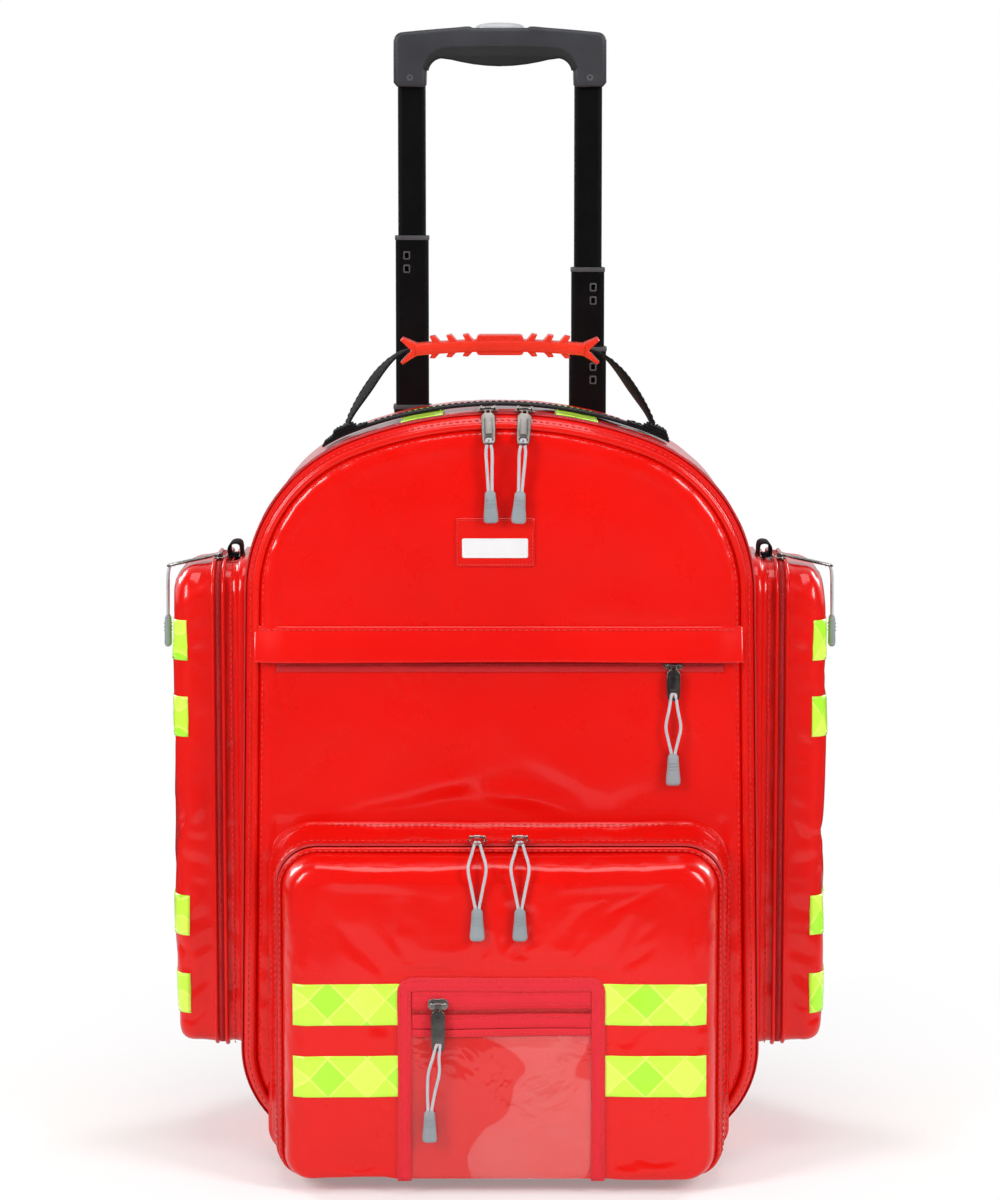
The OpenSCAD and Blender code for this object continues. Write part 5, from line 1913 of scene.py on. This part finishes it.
def shoulder_strap(s, side):
    t = np.linspace(0, 1, 70)
    bow = np.sin(np.pi * t)
    x = s * (98 + 7.0 * smoothstep(0, 1, t) - 5.0 * bow)
    path = np.stack([x, 136 + 26 * bow + 13 * t, 508 - 316 * t], 1)
    path = np.vstack([[(x[0], 128.4, 513.5)], path])
    up = np.cross(vec(1, 0, 0), unit(np.gradient(path, axis=0)))
    up *= np.sign(up[:, 1:2] + 1e-9)
    cos, sin = np.cos(turn(40)), np.sin(turn(40))
    section = np.stack([np.sign(cos) * np.abs(cos) ** 0.8 * np.where(cos > 0, 5.0, 4.2),
                        np.sign(sin) * np.abs(sin) ** 0.55 * 26.0], 1)
    along = np.linspace(0, 1, len(path))
    end = np.sqrt(np.clip(1 - np.clip((along - 0.95) / 0.05, 0, 1) ** 2, 0.05, 1))
    width = (1 - 0.10 * along) * end
    thick = (0.55 + 0.45 * smoothstep(0, 0.06, along)) * np.clip(end + 0.15, 0, 1)
    verts, faces = sweep(path, section, up=up, scale=np.stack([thick, width], 1))
    obj = fix_normals(make_object(f"shoulder_strap_pad_{side}", verts, faces, [MESH_PAD]))
    # held along both edges, at the ends and under the webbing
    held = (np.abs(sin) > 0.93) | ((np.abs(section[:, 1]) < 3) & (cos > 0))
    pinned = [i < 3 or i > len(path) - 4 or held[k] for i in range(len(path)) for k in range(40)]
    puff(obj, pinned, pressure=3.5, cap=3.0, frames=16, grow=0.02, tension=12, bend=1.0)
    attach(obj, "pack", "shoulder_straps")

    ups, sides = frames_along(path, up=up)
    parts = Parts()
    for edge in (-1, 1):
        binding = path + sides * (edge * 25.6 * width[:, None]) + ups * 0.2
        parts.add(*sweep(binding[1:-2], oval(1.9, 1.2), up=ups[1:-2]), WEBBING)
    # webbing sewn down the middle, under two cross loops
    middle = path + ups * 6.3 * np.clip(thick, 0, 1)[:, None]
    parts.add(*sweep(middle[2:-1], band(25, 1.5), up=ups[2:-1]), WEBBING)
    for across in (-10.6, 10.6):
        parts.stitch((middle + ups * 0.8 + sides * across)[3:-3], ups[3:-3], BLACK_THREAD,
                     radius=0.4)
    for k in (18, 44):
        centre = middle[k] + ups[k] * 1.6
        loop = np.array([centre + sides[k] * across for across in (-15, -13, -6, 0, 6, 13, 15)])
        loop[[0, -1]] -= ups[k] * 2.0
        parts.add(*sweep(loop, band(9, 1.3), up=ups[k]), WEBBING)
    parts.build(f"shoulder_strap_trim_{side}", "pack")


def lower_strap(s, side):
    x = s * 104.5
    path = spline([(x, y, z) for y, z in LOWER_STRAP] + [(x + s * 2, 152, 118)], 90)
    up = np.cross(vec(1, 0, 0), unit(np.gradient(path, axis=0)))
    back = vec(0, 1, 0)
    parts = Parts()
    parts.add(*sweep(path, band(24, 1.5), up=up), WEBBING)
    parts.add(*sweep([(x, 92.9, 70), (x, 92.9, 104)], band(30, 1.6), up=back), WEBBING)
    # two cross rows and two diagonals: start x, z and end x, z, points
    for x0, z0, x1, z1, steps in ((-12, 73, 12, 73, 8), (-12, 101, 12, 101, 8),
                                  (-12, 73, 12, 101, 9), (12, 73, -12, 101, 9)):
        row = [(x + x0 + (x1 - x0) * t, 93.8, z0 + (z1 - z0) * t)
               for t in np.linspace(0, 1, steps)]
        parts.stitch(np.array(row), back, BLACK_THREAD)
    parts.build(f"lower_strap_{side}", "pack", "black_webbing")


for s, side in ((-1, "left"), (1, "right")):
    shoulder_strap(s, side)
    lower_strap(s, side)

# ---------------------------------------------------------------- zip sliders and pulls
# Slider base: along the zip, across it
SLIDER_BASE = [
    (-7, -2.2), (-5.6, -3.6), (-3.5, -4.2), (0, -3.9), (3.5, -4.2), (5.6, -3.6), (7, -2.2),
    (7.3, 0), (7, 2.2), (5.6, 3.6), (3.5, 4.2), (0, 3.9), (-3.5, 4.2), (-5.6, 3.6),
    (-7, 2.2), (-7.3, 0)]
# Moulded cord end: z from its neck, half depth, half width
CORD_END_PROFILE = [
    (1.6, 1.5, 2.4), (0.4, 2.1, 3.4), (-0.6, 2.45, 3.9), (-3, 2.5, 4.0), (-8, 2.5, 4.3),
    (-13.5, 2.6, 4.9), (-17.8, 2.7, 5.3), (-19.6, 2.55, 5.2), (-20.9, 2.0, 4.4),
    (-21.5, 0.9, 3.0)]


def slider(name, replaced, body, place, bar=(0, BAR_HEIGHT)):
    """Slider with two ears and a cross bar at bar (y, z)."""
    bar_y, bar_z = bar
    parts = Parts()
    parts.add_plate(plate([SLIDER_BASE], 1.7, bevel=0.5, segments=3), NICKEL)
    for s in (-1, 1):
        ear = plate([rounded_rect(min(bar_y - 1.7, -1.6), 1.6, 0.6, 4.7, 1.4)], 1.7,
                    bevel=0.4, segments=2)
        parts.add_plate(ear, NICKEL, lambda v: v[:, [2, 0, 1]] + vec(s * 4.75 - 0.85, 0, 0))
    parts.add(*sweep([(-5.2, bar_y, bar_z), (5.2, bar_y, bar_z)], circle(0.85, 12)), NICKEL)
    ridge = [(-6.2, 0.0, 1.2), (-4, 0, 1.75), (4, 0, 1.75), (6.2, 0, 1.2)]
    parts.add(*sweep(ridge, oval(0.55, 1.2), up=vec(0, 0, 1)), NICKEL)
    parts.place(place)
    parts.build(name, body, replaced, angle=40)


def pull_tab(parts, pivot, direction, normal, length, material):
    """Metal tab with a slot for the cord and one for the bar."""
    def lay(v):
        y, z = (pivot + v[:, 1:2] * direction + v[:, 2:3] * normal).T
        return np.stack([v[:, 0], y, z], 1)

    half = [(2.3, -1.5), (2.4, 3.6), (3.6, 4.8), (4.9, 6.6), (5.0, length * 0.6),
            (4.6, length + 0.4), (3.4, length + 2.6), (1.6, length + 3.2)]
    outer = [(-2.3, -1.5)] + half + mirror(half[1:])
    slot = rounded_rect(-2.9, 2.9, length - 2.6, length + 0.8, 1.3, 4)[::-1]
    bar_slot = rounded_rect(-1.3, 1.3, 2.4, 4.0, 0.7, 3)[::-1]
    tab = plate([outer, slot, bar_slot], 1.6, bevel=0.38, segments=2, z0=-0.8)
    parts.add_plate(tab, material, lay)
    if length > 14:
        for z in (0.55, -1.05):
            panel = plate([rounded_rect(-3.0, 3.0, 8.2, length - 4.6, 1.2, 4)], 0.5,
                          bevel=0.2, segments=1, z0=z)
            parts.add_plate(panel, material, lay)
    y, z = pivot
    parts.add(*sweep([(-2.35, y, z), (2.35, y, z)], circle(1.55, 16)), material)


def pull(name, replaced, body, place, points, shift=0.0, spread=1.9, material=GUNMETAL):
    """Tab, cord loop and moulded end.

    points are (y, z) of the pivot, the tab's end, the cord's bend and its neck; shift moves
    the cord's end along x and spread parts its two legs.
    """
    pivot, tab_end, bend, neck = (vec(*point) for point in points)
    length = float(np.linalg.norm(tab_end - pivot))
    direction = (tab_end - pivot) / length
    normal = vec(-direction[1], direction[0])
    parts = Parts()
    pull_tab(parts, pivot, direction, normal, length, material)
    # one cord loop through the tab's slot, both ends in the moulded end
    hole = tab_end - direction * 0.6
    bend_y, bend_z = bend
    neck_y, neck_z = neck
    legs = []
    for s in (-1, 1):
        legs.append([
            (s * 1.2 + shift, neck_y, neck_z - 3),
            (s * 1.25 + shift * 0.98, neck_y, neck_z + 1.5),
            (s * (0.55 * spread + 0.7) + shift * 0.8, (neck_y + bend_y) / 2,
             (bend_z + neck_z) / 2 - 1),
            (s * (spread + 0.3) + shift * 0.5, bend_y, bend_z + (neck_z - bend_z) * 0.12),
            (s * max(1.5, spread * 0.62) + shift * 0.25, (tab_end[0] + bend_y) / 2 - 0.2,
             (tab_end[1] + bend_z) / 2),
            (s * 1.45, hole[0], hole[1] + 0.2)])
    loop_top = (0.0, *(hole - direction * 1.2 + normal * 0.6))
    path = spline(legs[0] + [loop_top] + legs[1][::-1], 90)
    parts.add(*sweep(path, circle(1.12, 10)), CORD)
    cos, sin = np.cos(turn(24)), np.sin(turn(24))
    section = np.stack([np.sign(cos) * np.abs(cos) ** 0.7, np.sign(sin) * np.abs(sin) ** 0.7], 1)
    parts.add(*sweep([(shift, neck_y, neck_z + z) for z, _, _ in CORD_END_PROFILE], section,
                     up=vec(0, 1, 0), scale=[size for _, *size in CORD_END_PROFILE]), CORD_END)
    for z in (-4.5, -7.0, -9.5):
        for y in (-2.45, 2.45):
            rib = [(shift + x, neck_y + y, neck_z + z) for x in (-3.0, 3.0)]
            parts.add(*sweep(rib, circle(0.5, 8)), CORD_END)
    parts.place(place)
    parts.build(name, body, replaced, angle=42)


def slider_and_pull(kind, side, place, points, pull_place=None, bar=(0, BAR_HEIGHT), **look):
    suffix, short = (f"_{side}", f"_{side[0]}") if side else ("", "")
    slider(f"{kind}_slider{suffix}_body", f"{kind}_slider{suffix}", f"{kind}_zip{short}",
           place, bar)
    pull(f"{kind}_pull{suffix}_set", f"{kind}_pull{suffix}", f"{kind}_tab{short}",
         pull_place or place, points, **look)


def on_crown(x):
    """Lays a piece on the main zip where it crosses the crown."""
    angle = math.asin(x / CROWN_RADIUS)
    cos, sin = math.cos(angle), math.sin(angle)

    def place(v):
        radius = v[:, 2] + CROWN_RADIUS + 0.4
        return np.stack([v[:, 0] * cos + radius * sin, v[:, 1] + MAIN_ZIP_Y,
                         CROWN_CENTRE_Z - v[:, 0] * sin + radius * cos], 1)
    return place


def on_side(s):
    """Lays a piece on the top of a side pocket's zip, its front turned outwards."""
    return lambda v: np.stack([s * (SIDE_ZIP_X - v[:, 1]), v[:, 0] - 30, v[:, 2] + 436.4], 1)


for side, x in (("left", -8.5), ("right", 17.5)):
    slider_and_pull("main", side, on_crown(x), [(-6.2, 3), (-22, -19), (-23.2, -24), (-23.2, -56)],
                    bar=(-6.2, 3.0))
for side, s in (("left", -1), ("right", 1)):
    slider_and_pull("pocket", side, moved(s * 15 - 1, POCKET_ZIP_Y, POCKET_TOP + 0.4),
                    [(0, BAR_HEIGHT), (-13, 1.0), (-33.5, -9), (-34, -43)],
                    spread=6.0, material=NICKEL)
    slider_and_pull("side", side, on_side(s),
                    [(0, BAR_HEIGHT), (-36, -4.5), (-38.5, -9), (-38.8, -43)],
                    spread=2.2, material=NICKEL)
# kind, x, y, z, points, look
for kind, x, y, z, points, look in (
        ("flap", 124, -96, FLAP_ZIP_Z, [(0, 0), (-0.6, -23), (-1, -42), (-1, -66)],
         {"spread": 5}),
        ("window", -43.5, -172.6, 137.5, [(0, 0), (-0.6, -30), (-1, -45), (-1, -77)],
         {"shift": -6, "spread": 3.5})):
    slider_and_pull(kind, None, on_face(x, y, z), points, moved(x, y - BAR_HEIGHT, z), **look)

# ---------------------------------------------------------------- stage, light and camera
# Area lights, in metres and watts: name, location, target, width, height, power
LIGHTS = [
    ("key_left", (-2.0, -1.8, 1.6), (0, -0.05, 0.3), 0.8, 1.3, 44),
    ("key_right", (2.0, -1.8, 1.6), (0, -0.05, 0.3), 0.8, 1.3, 41),
    ("top", (0, -0.5, 2.6), (0, 0, 0.4), 1.3, 1.3, 16),
    ("back_left", (-2.0, 1.8, 1.6), (0, 0, 0.3), 0.8, 1.3, 38),
    ("back_right", (2.0, 1.8, 1.6), (0, 0, 0.3), 0.8, 1.3, 38)]


def floor_material():
    shader = new_shader("m_floor")
    shader.surface({"Base Color": (0.90, 0.90, 0.90), "Roughness": 0.8,
                    "Specular IOR Level": 0.0})
    rays = shader.node("ShaderNodeLightPath").outputs
    distance = shader.node("ShaderNodeVectorMath", {0: shader.coords()},
                           operation="LENGTH").outputs["Value"]

    def glow(strength):
        inputs = {"Color": (1, 1, 1), "Strength": strength}
        return shader.node("ShaderNodeEmission", inputs).outputs[0]

    # far from the object the floor fades to the white of the backdrop, for the camera only
    far = shader.map_range(distance, from_min=0.35, from_max=1.15, to_min=0.25, to_max=1.0)
    fade = shader.math("MULTIPLY", far, rays["Is Camera Ray"])
    seen = shader.mix_shader(fade, shader.principled(), glow(1.0))
    # in reflections the pale floor ends a short way from the object
    near = shader.map_range(distance, from_min=0.85, from_max=1.05, to_min=0.50, to_max=0.02)
    shader.output(shader.mix_shader(rays["Is Glossy Ray"], seen, glow(near)))
    return shader.block


def floor():
    material = floor_material()
    bm = bmesh.new()
    bmesh.ops.create_grid(bm, x_segments=8, y_segments=8, size=9.0)
    for vertex in bm.verts:
        vertex.co.z = -0.0002
    mesh = bpy.data.meshes.new("floor")
    bm.to_mesh(mesh)
    bm.free()
    mesh.materials.append(material)
    for polygon in mesh.polygons:
        polygon.use_smooth = True
    link_object("floor", mesh)


def area_light(name, location, target, width, height, power):
    light = bpy.data.lights.new(name, "AREA")
    light.energy = power
    light.shape = "RECTANGLE"
    light.size = width
    light.size_y = height
    aim = (Vector(target) - Vector(location)).to_track_quat("-Z", "Y").to_euler()
    obj = bpy.data.objects.new(name, light)
    obj.location = location
    obj.rotation_euler = aim
    bpy.context.scene.collection.objects.link(obj)


def world():
    """White for the camera; reflections see a dark room in front and white behind."""
    ambient = 0.32
    block = bpy.data.worlds.new("world")
    bpy.context.scene.world = block
    shader = Shader(block)
    background = shader.nodes["Background"]
    rays = shader.node("ShaderNodeLightPath").outputs
    white = shader.node("ShaderNodeBackground", {0: (1, 1, 1), 1: 1.0})
    coordinates = shader.node("ShaderNodeTexCoord").outputs["Generated"]
    depth = shader.node("ShaderNodeSeparateXYZ", {0: coordinates}).outputs[1]
    room = shader.map_range(depth, from_min=0.05, from_max=0.55, to_min=0.02, to_max=0.75)
    strength = shader.node("ShaderNodeMix", {0: rays["Is Glossy Ray"], 2: ambient, 3: room})
    shader.feed(background.inputs[0], (0.80, 0.81, 0.83))
    shader.feed(background.inputs[1], strength.outputs[0])
    shader.output(shader.mix_shader(rays["Is Camera Ray"], background.outputs[0],
                                    white.outputs[0]), "World Output")


def camera():
    data = bpy.data.cameras.new("camera")
    data.lens = 113.0
    data.sensor_width = 36.0
    data.clip_end = 60
    obj = link_object("camera", data)
    obj.location = (0, -2.7633, 0.7423)
    obj.rotation_euler = (math.radians(82.984), 0, 0)
    bpy.context.scene.camera = obj


floor()
for light in LIGHTS:
    area_light(*light)
world()
view = bpy.context.scene.view_settings
view.view_transform = "Standard"
view.look = "None"
view.exposure = 0.0
camera()
